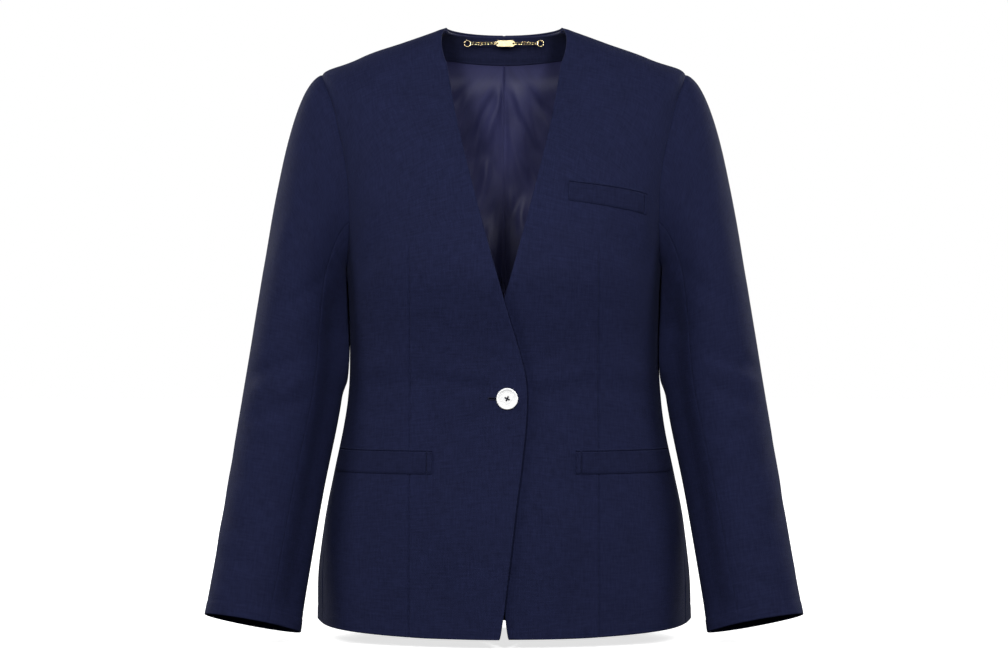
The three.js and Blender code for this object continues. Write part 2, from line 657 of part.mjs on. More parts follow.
// Materials
const cloth = new THREE.MeshStandardMaterial({ color: 0x232747, roughness: 0.86, metalness: 0 });
const weltCloth = new THREE.MeshStandardMaterial({ color: 0x20233f, roughness: 0.86, metalness: 0 });
const facingCloth = new THREE.MeshStandardMaterial({ color: 0x1c1f38, roughness: 0.9, metalness: 0 });
const satin = new THREE.MeshStandardMaterial({ color: 0x2f3052, roughness: 0.5, metalness: 0 });
const shellWhite = new THREE.MeshStandardMaterial({ color: 0xf4f3f1, roughness: 0.3, metalness: 0 });
const gold = new THREE.MeshStandardMaterial({ color: 0xe2c98a, roughness: 0.28, metalness: 1 });

const blazer = new THREE.Group();
function addMesh(name, geometry, material, parent = blazer) {
  const mesh = new THREE.Mesh(geometry, material);
  mesh.name = name;
  parent.add(mesh);
  return mesh;
}

function addBody() {
  const places = frontPlaces();
  const seams = ["last", "top"];
  const front = (sign) => bodyPanel(places, CLOTH, seams, (point, place) =>
    overlapLift(point, sign) - (place.groove || 0));
  addMesh("front_left", front(-1), cloth);
  addMesh("front_right", withButtonhole(mirrored(front(1))), cloth);

  const back = bodyPanel(evenPlaces(backRows(HEM), BACK_COLUMNS), CLOTH, ["first", "last", "top"], () => 0);
  addMesh("back_left", back, cloth);
  addMesh("back_right", mirrored(back), cloth);
}

function addInside() {
  const liningPlaces = evenPlaces(backRows(LINING_HEM), BACK_COLUMNS).slice(1);
  const lining = bodyPanel(liningPlaces, LINING, ["first", "last", "top"], () => LINING_STAND);
  addMesh("lining_left", lining, satin);
  addMesh("lining_right", mirrored(lining), satin);

  const facingPlaces = [];
  for (const ring of [FACING_EDGE + 0.02, FACING_EDGE + 0.5, NECK - 0.01]) {
    const row = [];
    for (let j = 0; j <= 16; j++) row.push({ angle: lerp(1, 179, j / 16), ring });
    facingPlaces.push(row);
  }
  addMesh("neck_facing", bodyPanel(facingPlaces, FACING, [], () => FACING_STAND), facingCloth);
}

function addSleeves() {
  const seam = SLEEVE_SEAM.armhole;
  const columnsFor = (turn) => Math.round(turn / ARMHOLE_STEP);
  const upper = sleevePiece(-seam, seam, columnsFor(2 * seam));
  const under = sleevePiece(seam, 360 - seam, columnsFor(360 - 2 * seam));
  addMesh("sleeve_left_upper", upper, cloth);
  addMesh("sleeve_left_under", under, cloth);
  addMesh("sleeve_right_upper", mirrored(upper), cloth);
  addMesh("sleeve_right_under", mirrored(under), cloth);
}

function addPocketsAndButton() {
  addMesh("hip_welt_left", hipWelt(-1), weltCloth);
  addMesh("hip_welt_right", mirrored(hipWelt(1)), weltCloth);
  addMesh("breast_welt", breastWelt(), weltCloth);
  const button = addMesh("button", buttonGeometry(), shellWhite);
  button.applyMatrix4(frameOnFront(BUTTON.x, BUTTON.z, LAYER_GAP));
}

// The hanging chain inside the back neck: two rings on the facing, curb links and a plain bar.
function addChain() {
  const outerEdge = CHAIN.ringX + CHAIN.ringRadius;
  const upperEdge = CHAIN.z + CHAIN.ringRadius;
  const place = onFront(outerEdge, upperEdge, 1);
  const normal = bodyNormal(place.angle, place.ring);
  const facingY = bodyPoint(place.angle, place.ring).y + (FACING_STAND - FACING) / normal.y;
  const chain = new THREE.Group();
  chain.position.set(0, facingY - CHAIN.wire - 2 * LAYER_GAP, CHAIN.z);
  blazer.add(chain);

  const round = (count) => ovalPoints(CHAIN.ringRadius, CHAIN.ringRadius, count);
  for (const [name, side] of [["ring_left", 1], ["ring_right", -1]]) {
    const mesh = addMesh(name, wireLoop(round(16), CHAIN.wire, 6), gold, chain);
    mesh.rotation.x = Math.PI / 2;
    mesh.position.x = side * CHAIN.ringX;
  }

  addMesh("plate", plateGeometry(), gold, chain).rotation.x = Math.PI / 2;
  chain.getObjectByName("plate").position.x = PLATE.x;

  for (const [name, side] of [["link_left", 1], ["link_right", -1]]) {
    const fromX = side * PLATE.x + PLATE.length / 2 - PLATE.holeInset;
    const toX = CHAIN.ringX - CHAIN.ringRadius + CHAIN.wire + CHAIN.linkWire + 0.12;
    const pitch = (toX - fromX) / CHAIN.links;
    const halfLength = (pitch + 2 * CHAIN.linkWire + 0.25) / 2;
    const oval = ovalPoints(halfLength, 1.3, 8);
    for (let k = 0; k < CHAIN.links; k++) {
      const link = addMesh(`${name}_${k + 1}`, wireLoop(oval, CHAIN.linkWire, 4), gold, chain);
      link.position.x = side * (fromX + (k + 0.5) * pitch);
      link.rotation.x = k % 2 ? Math.PI / 2 : 0;
    }
  }
}

addBody();
addInside();
addSleeves();
addPocketsAndButton();
addChain();

export default blazer;
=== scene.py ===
import math

import bpy
import numpy as np
from mathutils import Matrix, Vector
from mathutils.kdtree import KDTree


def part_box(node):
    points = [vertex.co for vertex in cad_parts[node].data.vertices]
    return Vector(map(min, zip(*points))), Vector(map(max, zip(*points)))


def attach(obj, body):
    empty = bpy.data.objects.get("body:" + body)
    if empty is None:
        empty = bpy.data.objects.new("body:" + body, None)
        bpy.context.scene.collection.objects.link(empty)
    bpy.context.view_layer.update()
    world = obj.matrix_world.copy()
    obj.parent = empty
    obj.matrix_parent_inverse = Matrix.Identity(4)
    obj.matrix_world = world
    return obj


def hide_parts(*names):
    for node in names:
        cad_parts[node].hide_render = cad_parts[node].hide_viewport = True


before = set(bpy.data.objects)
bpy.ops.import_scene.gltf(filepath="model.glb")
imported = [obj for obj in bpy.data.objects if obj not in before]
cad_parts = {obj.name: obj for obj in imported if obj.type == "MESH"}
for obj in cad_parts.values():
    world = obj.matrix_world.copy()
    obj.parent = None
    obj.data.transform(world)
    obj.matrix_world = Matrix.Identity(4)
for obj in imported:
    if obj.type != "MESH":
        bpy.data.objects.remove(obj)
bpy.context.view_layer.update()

# Sizes are in millimetres, in the frame's own axes, unless a name says otherwise.
MM = 0.001
CLOTH = 1.8  # wall of the shell cloth with its fusing
LINING_STAND = -2.15  # the lining's outer face, from the outside of the cloth
LINING_WALL = 0.8
FACING_STAND = -4.2  # the neck facing's outer face, from the outside of the cloth
FACING_WALL = 1.2
FACING_LEAN = {"out": 0.95, "over": 9}  # the facing's lower edge lies closer to the lining
FACING_GRID = {"low": 0.02, "high": 0.01, "side": 1, "up": 26, "across": 150}
WELT_GAP = 0.25
WELT_WALL = 1.3
WELT_LINE = {"from_top": 1.5, "from_end": 4.2, "wide": 0.65, "deep": 1.4}
WELT_FORM = {"crown": 0.35, "power": 4, "edge_turn": 0.6, "edge_wide": 1.2}
WELT_PLAIN = (0, 0.5, 1.2, 2.2)  # steps of a welt's grid in from an edge, and by a sewn line
WELT_CLOSE = (0, 0.35, 0.65, 0.9, 1.15, 1.4, 1.65, 1.9, 2.2, 2.6,
              3.1, 3.5, 3.8, 4.05, 4.3, 4.55, 4.85, 5.3)
WELT_GRID = {"up": 12, "across": 60}
SEAM_INSET = 0.02  # each piece stops this short of a seam line
SLEEVE_TUCK = 2.3  # how far the sleeve head goes in under the armhole edge
ARMHOLE_CALM = {"over": 10, "low_z": -325, "high_z": -285}  # the folds end at the armhole seam
SEAM_ROLL = 0.45  # how far the cloth turns in beside a seam, over SEAM_REACH
SEAM_REACH = 1.3
HEM_LINE = {"at": 14, "deep": 0.3, "wide": 1.3, "fold": 0.25, "over": 2}
EDGE_FORM = {"ridge": 0.18, "at": 7, "wide": 3.5, "turn": 0.35, "turn_wide": 1.6}
UPPER_EDGE = {"rise": 1.5, "over": 8, "low_z": -330, "high_z": -250}

# Sewing at a welt's end, round the buttonhole and across the button's holes
STITCH = {"long": 2.0, "gap": 0.55, "radius": 0.2, "first": 0.6, "rise": 0.35, "power": 0.7,
          "sunk": 0.3, "above": 0.45, "margin": 0.03, "places": 40, "steps": 9}
PURL = {"pitch": 0.62, "round_end": 9, "near": 0.1, "far": 1.35, "rise": 0.5, "power": 0.6,
        "sunk": 0.2, "radius": 0.26, "steps": 7}
STRAND = {"offsets": (-0.5, 0, 0.5), "radius": 0.27, "beyond": 0.25, "below": 0.45, "over": 0.12,
          "drop": 2.3, "power": 7, "steps": 17}

# The hanging chain
ACROSS_CHAIN = np.array([0.0, 1.0, 0.0])
LINKS = 9  # on each side of the plate
RING_GAP = 9  # degrees on each side of the ring's opening
LINK = {"wire": 0.36, "short": 0.18, "up": 1.62, "lean": 0.28, "twist": 0.5}
PLATE = {"bevel": 0.22, "corner_up": 1.2, "corner_in": 2.4, "hole_in": 1.8, "hole": 1.2}

# The sleeve stays this far from the side of the body, from high_z down to its full gap at low_z.
SIDE_CLEAR = {"gap": 1.3, "soft": 1.2, "high_z": -256, "low_z": -268}
# The under sleeve turns back past the front seam, and lies in towards the body above the elbow.
SLEEVE_HOLLOW = {"turn": 148, "wide": 27, "deep": 10.0, "from": -0.7, "full": 0.2,
                 "less": 0.5, "less_along": (3.3, 4)}
SLEEVE_PRESS = {"turn": 212, "wide": 46, "in": 15, "z": (-258, -278, -362, -408)}
# A sleeve's folds fade towards its head, and near its outer edge.
SLEEVE_CALM = {"head": -1.0, "full": -0.75, "outer": 0.75, "outer_arc": 24,
               "ripple_arc": 40, "ripple_wide": 90}
SLEEVE_ROLL = 0.75  # how much of the seam roll a sleeve has
HEAD_START = -0.9985  # the head's first row, just off the armhole
HEAD_CLOSE = 1.25  # how much closer its first rows lie


def table(names, rows):
    """A short table as one array for each named column."""
    return dict(zip(names.split(), np.array(rows, float).T))


# Rings round the body from hem to neck: heights at the side, front and back, half width, where it
# is widest, depths to the front and back from there, and the exponent of the superellipse.
RINGS = table("z_side z_front z_back half y_mid front back square", [
    (-651, -661, -663, 205.7, 14, 142, 106, 2.3),
    (-600, -604, -605, 204.5, 14, 141, 108, 2.3),
    (-545, -546, -546, 198.5, 13, 138, 107, 2.3),
    (-490, -490, -490, 187.5, 12, 132, 101, 2.35),
    (-440, -440, -440, 176.5, 11, 127, 92, 2.4),
    (-392, -392, -392, 171.0, 11, 126, 86, 2.4),
    (-348, -348, -348, 169.5, 11, 129, 88, 2.45),
    (-308, -308, -308, 170.5, 11, 137, 94, 2.5),
    (-272, -275, -275, 173.0, 9, 140, 101, 2.5),
    (-226, -241, -238, 178.0, 6, 132, 107, 2.55),
    (-180, -208, -206, 183.0, 5, 122, 109, 2.6),
    (-135, -177, -172, 188.5, 4, 111, 107, 2.6),
    (-92, -147, -133, 195.0, 2, 98, 101, 2.45),
    (-56, -122, -95, 191.5, 0, 85, 92, 2.3),
    (-33.8, -105, -63, 157.0, 0, 74, 83, 2.25),
    (-17, -91, -34, 111.0, 0, 65, 76, 2.3),
    (0, -80, -3, 64.0, 0, 54, 62, 2.1),
])
UNDERARM = 8
SHOULDER_POINT = 13
FACING_EDGE = 15
NECK = 16
SHOULDER_CORNER = {"out": 8, "up": 4, "rings": 0.5, "power": 12}
SKIRT_WAVES = {"height": 2.4, "count": 7, "from_z": -470, "to_z": -661}

# The front edge from the rounded hem corner to the neck, x being its distance from the centre line
# on its own side.
FRONT_EDGE = table("z x", [
    (-661, 9.5),
    (-656, 4.4),
    (-593, -3.8),
    (-520, -12.4),
    (-455, -20.4),
    (-412, -23.4),
    (-380, -21.4),
    (-344, -12.0),
    (-304, 0.0),
    (-215, 24.4),
    (-115, 49.5),
    (-42, 63.0),
])
HEM_CORNER_Z = -660.5
EDGE_ROWS = 12
EDGE_AT_UNDERARM = 9.1
BACK_AT_UNDERARM = 9.6
HEM_ROW_RING = 0.1
SIDE_SEAM = {"hem": -18, "underarm": -6}
DART = {"x": 101, "top_z": -236, "top_fraction": 0.5, "groove": 1.35, "half_width": 0.85,
        "fade": 30}
ARMHOLE = {"top_z": -52, "bottom_z": -272, "front": 56, "back": 63,
           "front_scoop": 0.22, "back_scoop": 0.08, "below": 3}
LOWER_ROWS = 17
UPPER_ROWS = 12
NECK_ROWS = 6
ALL_ROWS = LOWER_ROWS + UPPER_ROWS
NECK_ROW = ALL_ROWS - NECK_ROWS
LINING_LOW_ROW = 1.4456
OVERLAP = {"lift": 1.6, "from_x": 26, "to_x": 62, "from_z": -296, "to_z": -205}
UNDER_EDGE = {"deep": 3.2, "from": 0.5, "to": 11, "low_z": -325, "high_z": -285}

# Rings of a sleeve below its head, in the wearer's left sleeve's place.
SLEEVE_RINGS = table("x y z across deep rise_out rise_front", [
    (217.5, -10, -288, 46.5, 61, 0.42, 0.0),
    (228.4, -20, -392, 53.4, 55, 0.18, 0.04),
    (246.8, -34, -499, 52.0, 50, 0.18, 0.1),
    (263.2, -52, -602, 51.4, 45, 0.185, 0.17),
    (270.6, -61.5, -648.5, 52.2, 41, 0.18, 0.2),
])
SLEEVE_END = 4
SLEEVE_INNER = (-0.985, SLEEVE_END - 0.03)  # normals are taken between these
SLEEVE_SEAM = {"armhole": 120, "cuff": 113}
SLEEVE_HEAD = {"outward": 2.0, "under_outward": 0.55, "up": 0.35, "start": 0.1, "start_min": 8,
               "end": 0.46}
ARC_PER_DEGREE = 0.9  # millimetres round a sleeve

HIP_WELT = {"inner_x": 77, "top_z": -461, "bottom_z": -486, "end_short": 2.5, "seam_share": 0.45}
BREAST_WELT = {"inner_x": 70, "outer_x": 153, "inner_top_z": -174, "inner_bottom_z": -195,
               "outer_top_z": -186.5, "outer_bottom_z": -209.5}
BUTTON = {"x": 3.4, "z": -406, "radius": 11.5, "thick": 3.2, "stand": 0.45, "hole_radius": 0.95,
          "hole_at": 2.1, "turn": 62, "edge_turn": 50}
# Its profile: first how far in from the edge and how high, on its back, then how far in and how
# deep below the front, and last the distance from the axis and the depth, in its dish.
BUTTON_BACK = [(3.5, 0), (1.4, 0.1), (0.6, 0.45), (0.15, 1.0), (0, 1.6)]
BUTTON_RIM = [
    (0.12, 0.75), (0.4, 0.25), (0.85, 0), (1.6, 0.1), (2.15, 0.45), (2.6, 0.72),
    (3.3, 0.82), (3.6, 0.95), (3.9, 0.84), (4.9, 0.9), (5.2, 1.02), (5.5, 0.92),
]
BUTTON_DISH = [(2.2, 1.1), (1.0, 1.12), (0, 1.12)]
BUTTONHOLE = {"length": 22, "width": 0.8, "beyond": 3, "through": 8}

# Folds of the body cloth, seen from the front (face -1) or the back (face 1). x and z are a fold's
# middle, turn its direction from level, long and wide its reach and height its rise; a height
# below 0 is a trough.
BODY_FOLDS = table("face side x z turn long wide height", [
    (-1, -1, -24, -352, -38, 44, 7.0, -1.2),
    (-1, -1, -34, -344, -36, 48, 7.5, 1.2),
    (-1, -1, -44, -392, -10, 58, 8.0, -1.1),
    (-1, -1, -52, -378, -12, 60, 9.0, 1.1),
    (-1, -1, -40, -432, 24, 46, 8.0, -0.8),
    (-1, -1, -62, -330, -28, 52, 10, -0.8),
    (-1, -1, -112, -392, 8, 60, 12, -1.8),
    (-1, -1, -134, -372, 12, 54, 11, 1.4),
    (-1, -1, -136, -418, -6, 52, 12, -1.2),
    (-1, -1, -130, -240, 58, 66, 15, -3.4),
    (-1, -1, -146, -214, 66, 58, 11, 1.4),
    (-1, -1, -56, -548, 78, 70, 14, 1.1),
    (-1, -1, -78, -590, 84, 66, 13, -1.2),
    (-1, -1, -150, -570, 82, 80, 15, -1.6),
    (-1, -1, -22, -560, 70, 60, 11, -0.8),
    (-1, -1, -92, -130, 74, 80, 20, -1.4),
    (-1, 1, 38, -366, 30, 46, 8.0, -0.9),
    (-1, 1, 52, -398, 8, 56, 9.0, -0.9),
    (-1, 1, 60, -384, 10, 52, 8.5, 0.9),
    (-1, 1, 116, -398, -10, 60, 12, -1.6),
    (-1, 1, 138, -378, -14, 52, 11, 1.4),
    (-1, 1, 140, -426, 8, 50, 12, -1.2),
    (-1, 1, 132, -242, -60, 66, 15, -3.2),
    (-1, 1, 148, -216, -68, 56, 11, 1.4),
    (-1, 1, 58, -560, -80, 70, 14, 1.1),
    (-1, 1, 80, -604, -86, 60, 13, -1.2),
    (-1, 1, 150, -580, -82, 80, 15, -1.6),
    (-1, 1, 30, -520, -76, 60, 11, -0.7),
    (-1, 1, 96, -128, -74, 80, 20, -1.4),
    (1, -1, -60, -372, 6, 70, 12, -1.9),
    (1, -1, -76, -402, -5, 76, 13, -1.8),
    (1, -1, -70, -387, 2, 74, 9, 1.2),
    (1, -1, -132, -262, -52, 70, 14, -2.4),
    (1, -1, -150, -236, -58, 60, 12, 1.4),
    (1, -1, -96, -566, 84, 84, 18, -2.2),
    (1, -1, -44, -588, 88, 66, 15, 1.4),
    (1, 1, 54, -378, -7, 66, 12, -1.9),
    (1, 1, 80, -408, 5, 72, 13, -1.6),
    (1, 1, 68, -394, -3, 74, 9, 1.2),
    (1, 1, 130, -258, 54, 70, 14, -2.4),
    (1, 1, 150, -232, 60, 58, 12, 1.4),
    (1, 1, 92, -560, -84, 84, 18, -2.2),
    (1, 1, 40, -596, -88, 62, 15, 1.4),
])

# Folds of the sleeves. x is round the sleeve from its outer side to the front, in degrees of turn,
# and z the height.
SLEEVE_FOLDS = table("side x z turn long wide height", [
    (1, 62, -368, 14, 60, 10, -2.4),
    (1, 50, -386, 12, 54, 8, 1.2),
    (1, 74, -404, 22, 62, 9, -2.0),
    (1, 66, -438, -14, 56, 9, -1.2),
    (1, 30, -470, -26, 60, 11, -1.4),
    (1, 16, -524, -34, 66, 11, -1.7),
    (1, 40, -512, -30, 60, 9, 1.2),
    (1, 60, -566, -22, 62, 10, -1.5),
    (1, 24, -596, -28, 52, 8, 0.9),
    (1, 78, -604, 16, 46, 8, -1.0),
    (1, 30, -236, 64, 74, 15, -1.3),
    (1, 76, -206, 70, 66, 12, -1.5),
    (1, 96, -286, 40, 60, 10, -1.8),
    (1, -56, -376, -12, 64, 11, 2.0),
    (1, -70, -420, -10, 60, 10, -1.8),
    (1, -58, -548, 20, 66, 12, -2.2),
    (1, -84, -230, -70, 66, 13, -1.6),
    (1, 150, -330, 10, 60, 12, -1.6),
    (-1, 58, -376, 16, 62, 10, -2.4),
    (-1, 72, -396, 10, 54, 8, 1.2),
    (-1, 78, -420, 20, 58, 9, -1.9),
    (-1, 54, -452, -16, 56, 9, -1.3),
    (-1, 22, -484, -28, 60, 11, -1.4),
    (-1, 34, -540, -30, 66, 11, -1.8),
    (-1, 12, -556, -34, 50, 9, 1.1),
    (-1, 64, -580, -20, 60, 10, -1.5),
    (-1, 30, -612, -24, 46, 8, 0.8),
    (-1, 28, -228, 62, 74, 15, -1.3),
    (-1, 78, -214, 72, 62, 12, -1.5),
    (-1, 98, -292, 38, 60, 10, -1.8),
    (-1, -52, -384, -14, 64, 11, 2.0),
    (-1, -72, -428, -8, 60, 10, -1.8),
    (-1, -56, -560, 22, 66, 12, -2.2),
    (-1, -82, -222, -70, 66, 13, -1.6),
    (-1, 152, -336, 10, 60, 12, -1.6),
])

# Folds of the lining, with x measured from the centre line on either side.
LINING_FOLDS = table("x z turn long wide height", [
    (-13, -96, 68, 60, 5.0, -1.3),
    (-24, -92, 62, 64, 6.0, 1.2),
    (-38, -112, 70, 58, 6.0, -1.2),
    (-10, -150, -58, 46, 5.0, 1.0),
    (-26, -176, 74, 60, 6.0, -1.2),
    (-44, -62, 50, 40, 6.0, 1.0),
    (-20, -214, 64, 54, 6.0, 1.0),
    (-12, -262, -70, 50, 5.5, -1.0),
    (14, -84, -66, 56, 5.0, 1.3),
    (27, -98, -60, 62, 6.0, -1.3),
    (40, -78, -52, 44, 6.0, 1.1),
    (16, -140, -74, 56, 5.0, -1.1),
    (30, -152, -62, 52, 6.0, 1.2),
    (12, -196, 62, 48, 5.0, 1.0),
    (26, -226, -70, 56, 6.0, -1.2),
    (-18, -132, 84, 70, 3.6, -0.7),
    (-31, -122, 80, 62, 3.4, 0.6),
    (-47, -88, 76, 46, 3.6, -0.6),
    (-9, -196, 86, 62, 3.2, 0.5),
    (-17, -236, -84, 56, 3.4, -0.6),
    (21, -118, -82, 66, 3.4, -0.7),
    (36, -104, -78, 58, 3.6, 0.6),
    (48, -92, -74, 42, 3.4, -0.5),
    (11, -168, -87, 60, 3.2, 0.5),
    (20, -204, 82, 58, 3.4, -0.6),
    (60, -300, -64, 90, 10, -1.6),
    (-64, -310, 66, 90, 10, 1.6),
    (90, -420, 80, 110, 14, 1.6),
    (-86, -430, -80, 110, 14, -1.6),
])
LINING_SLACK = 2.6
LINING_SEAM = {"deep": 1.1, "wide": 0.9}
# Its folds are raised, keep a least depth, and fade at its edges and under the facing.
LINING_EASE = {"folds": 1.9, "least": -0.1, "over": 9, "to_facing": (-1.2, -0.5)}

# Where each piece lies in the weave, in metres
WEAVE_AT = {
    "front": (0.3, 0.0),
    "back": (0.25, 0.9),
    "sleeve": (0.7, 0.3),
    "facing": (1.4, 0.0),
    "welt": (0.11, 2.0),
}

# How a fold bends and ends along its length
FOLD = {"bend": 0.9, "reach": 1.7, "power": 4}
FOLDS_END = (150, 170)  # the folds of the fronts and back fade out between these distances
FRONT_CLEAR = (6, 40)  # and here towards the front edge
BACK_CLEAR = (0, 14)
NECK_CLEAR = (-60, -30)
DIMPLE = {"deep": 0.5, "wide": 16}

# A soft unevenness of each cloth: its seed, the length of its waves and its height
RIPPLES = {
    "front": (11, 90, 0.35),
    "back": (31, 100, 0.4),
    "sleeve": (51, 80, 0.3),
    "lining": (71, 34, 0.3),
}
RIPPLE_WAVES = 9
RIPPLE_SPAN = (0.6, 1.7)

# Fineness of the meshes
BODY_GRID_ROWS = 190
FRONT_COLUMNS = (32, 28)  # on each side of the dart
BACK_COLUMNS = 46
LINING_COLUMNS = 100
UPPER_COLUMNS = 84
UNDER_COLUMNS = 38
SLEEVE_HEAD_ROWS = 56
SLEEVE_ROWS = 124
EDGE_CLOSE = (0, 0.8, 1.8, 3.2, 5.2)
DART_CLOSE = (0, 0.5, 1.1, 2.0, 3.4, 5.6)
RIM_STEPS = 3
SEAM_RIM = 0.12  # how round a rim is at a seam, where 1 is a full half circle
BISECT_STEPS = 30
ROW_STEPS = 25  # points that a row's length is measured over
FRONT_TURN = 178  # places on the front are looked for up to this angle, and from this ring up
LOWEST_RING = -0.4
SMALL_TURN = 0.5  # steps round and along a surface that its normals are taken over
SMALL_STEP = 0.02
SLEEVE_TURN = 1
SLEEVE_STEP = 0.015
NO_EDGE = 1e3
# Sides or steps round each small form
ROUND = {"button": 96, "button_hole": 32, "stitch": 6, "strand": 8, "ring": 72, "ring_wire": 14,
         "link": 40, "link_wire": 10, "plate_hole": 28}


def column(rows, name, at):
    """One named column of a table as a smooth curve through its rows."""
    values = rows[name]
    last = len(values) - 1
    before, after = 2 * values[0] - values[1], 2 * values[last] - values[last - 1]
    ends = np.concatenate([[before], values, [after]])
    at = np.asarray(at, float)
    i = np.clip(np.floor(at).astype(int), 0, last - 1)
    f = at - i
    a, b, c, d = (ends[i + k] for k in range(4))
    return b + 0.5 * f * (c - a + f * (2 * a - 5 * b + 4 * c - d + f * (3 * (b - c) + d - a)))


def lerp(a, b, f):
    return a + (b - a) * f


def smooth(low, high, value):
    f = np.clip((value - low) / (high - low), 0, 1)
    return f * f * (3 - 2 * f)


def bell(value, middle, wide):
    return np.exp(-(((value - middle) / wide) ** 2))


def unit(vectors):
    return vectors / np.maximum(np.linalg.norm(vectors, axis=-1, keepdims=True), 1e-9)


def bisect(low, high, is_below):
    a, b = np.array(low, float), np.array(high, float)
    for _ in range(BISECT_STEPS):
        middle = (a + b) / 2
        below = is_below(middle)
        a = np.where(below, middle, a)
        b = np.where(below, b, middle)
    return (a + b) / 2


def body_point(angle, ring):
    """The body surface: angle 0 is the wearer's left side, -90 the front and 90 the back."""
    angle, ring = np.broadcast_arrays(np.asarray(angle, float), np.asarray(ring, float))
    c, s = np.cos(np.radians(angle)), np.sin(np.radians(angle))
    half = column(RINGS, "half", ring)
    depth = np.where(s < 0, column(RINGS, "front", ring), column(RINGS, "back", ring))
    z_face = np.where(s < 0, column(RINGS, "z_front", ring), column(RINGS, "z_back", ring))
    z_side = column(RINGS, "z_side", ring)
    n = column(RINGS, "square", ring)
    r = (np.abs(c) ** n + np.abs(s) ** n) ** (-1 / n)
    z = z_side + (z_face - z_side) * s * s
    swing = smooth(SKIRT_WAVES["from_z"], SKIRT_WAVES["to_z"], z) * np.abs(c) ** 0.5
    wave = SKIRT_WAVES["height"] * swing * np.sin(np.radians(angle * SKIRT_WAVES["count"]))
    out = 1 + wave / half
    corner = bell(ring, SHOULDER_POINT, SHOULDER_CORNER["rings"])
    corner = corner * np.abs(c) ** SHOULDER_CORNER["power"]
    x = half * r * c * out + np.sign(c) * SHOULDER_CORNER["out"] * corner
    y = column(RINGS, "y_mid", ring) + depth * r * s * out
    return np.stack([x, y, z + SHOULDER_CORNER["up"] * corner], -1)


def body_normal(angle, ring):
    ring = np.clip(ring, SMALL_STEP, NECK - SMALL_STEP)
    across = body_point(angle + SMALL_TURN, ring) - body_point(angle - SMALL_TURN, ring)
    along = body_point(angle, ring + SMALL_STEP) - body_point(angle, ring - SMALL_STEP)
    return unit(np.cross(across, along))


def on_front(x, z):
    """The place (angle, ring) on the front that is seen at x and z."""
    x, z = np.broadcast_arrays(np.asarray(x, float), np.asarray(z, float))
    zero = np.zeros_like(x)

    def angle_at(ring):
        return -bisect(zero, zero + FRONT_TURN, lambda a: body_point(-a, ring)[..., 0] > x)

    def is_below(ring):
        wide = column(RINGS, "half", ring) > x
        return wide & (body_point(angle_at(ring), ring)[..., 2] < z)

    ring = bisect(zero + LOWEST_RING, zero + NECK, is_below)
    return angle_at(ring), ring


def on_side(y, z):
    """The place on the side of the body that is seen at y and z."""
    y, z = np.broadcast_arrays(np.asarray(y, float), np.asarray(z, float))
    zero = np.zeros_like(y)

    def angle_at(ring):
        return bisect(zero - 90, zero + 90, lambda a: body_point(a, ring)[..., 1] < y)

    def is_below(ring):
        return body_point(angle_at(ring), ring)[..., 2] < z

    ring = bisect(zero + UNDERARM - ARMHOLE["below"], zero + NECK, is_below)
    return angle_at(ring), ring


def armhole_place(turn):
    """The armhole seam: turn 0 is the shoulder point, 90 the front, 180 the underarm."""
    s, c = np.sin(np.radians(turn)), np.cos(np.radians(turn))
    z = lerp(ARMHOLE["bottom_z"], ARMHOLE["top_z"], (1 + c) / 2)
    middle = body_point(SIDE_SEAM["underarm"], UNDERARM)[1] * (1 - c) / 2
    reach = np.where(s >= 0, ARMHOLE["front"], ARMHOLE["back"])
    scoop = np.where(s >= 0, ARMHOLE["front_scoop"], ARMHOLE["back_scoop"])
    angle, ring = on_side(middle - reach * s * (1 - scoop * c), z)
    top = (turn == 0) | (turn == 360)
    bottom = turn == 180
    angle = np.where(top, 0, np.where(bottom, SIDE_SEAM["underarm"], angle))
    ring = np.where(top, SHOULDER_POINT, np.where(bottom, UNDERARM, ring))
    return angle, ring


ARMHOLE_STEP = 180 / UPPER_ROWS
ARMHOLE_KNOTS = dict(zip(
    ("angle", "ring"), armhole_place(np.arange(2 * UPPER_ROWS + 1) * ARMHOLE_STEP),
))


def armhole_at(turn):
    at = np.asarray(turn) / ARMHOLE_STEP
    return column(ARMHOLE_KNOTS, "angle", at), column(ARMHOLE_KNOTS, "ring", at)


def outer_places(rows, turn):
    """A panel's side edge, and above the underarm its armhole edge at the given turns."""
    climb = lerp(HEM_ROW_RING, UNDERARM, (rows - 1) / (LOWER_ROWS - 1))
    ring = np.where(rows < 1, rows * HEM_ROW_RING, climb)
    angle = lerp(SIDE_SEAM["hem"], SIDE_SEAM["underarm"], rows / LOWER_ROWS)
    hole_angle, hole_ring = armhole_at(turn)
    is_high = rows > LOWER_ROWS
    return np.where(is_high, hole_angle, angle), np.where(is_high, hole_ring, ring)


def panel_rows(low=0.0):
    """Row values from the hem up, with one of them exactly at the underarm."""
    lower = int(BODY_GRID_ROWS * LOWER_ROWS / ALL_ROWS)
    first = np.linspace(low, LOWER_ROWS, lower, endpoint=False)
    return np.concatenate([first, np.linspace(LOWER_ROWS, ALL_ROWS, BODY_GRID_ROWS - lower)])


def spread(total, close_start, close_end, count):
    """Distances along rows of the given lengths, with close steps at both ends."""
    start = np.tile(close_start, (len(total), 1)).astype(float)
    end = total[:, None] - np.array(close_end)[::-1]
    inner = np.linspace(0, 1, count + 2)[1:-1]
    middle = lerp(start[:, -1:], end[:, :1], inner)
    return np.concatenate([start, middle, end], 1)


def row_lengths(ends, low, high):
    in_angle, out_angle, in_ring, out_ring = ends
    f = lerp(low, high, np.linspace(0, 1, ROW_STEPS)[:, None])
    points = body_point(lerp(in_angle, out_angle, f), lerp(in_ring, out_ring, f))
    return np.linalg.norm(np.diff(points, axis=0), axis=-1).sum(0)


def between(ends, f):
    """Angles and rings at shares f along rows with the given ends."""
    in_angle, out_angle, in_ring, out_ring = (end[:, None] for end in ends)
    return lerp(in_angle, out_angle, f), lerp(in_ring, out_ring, f)


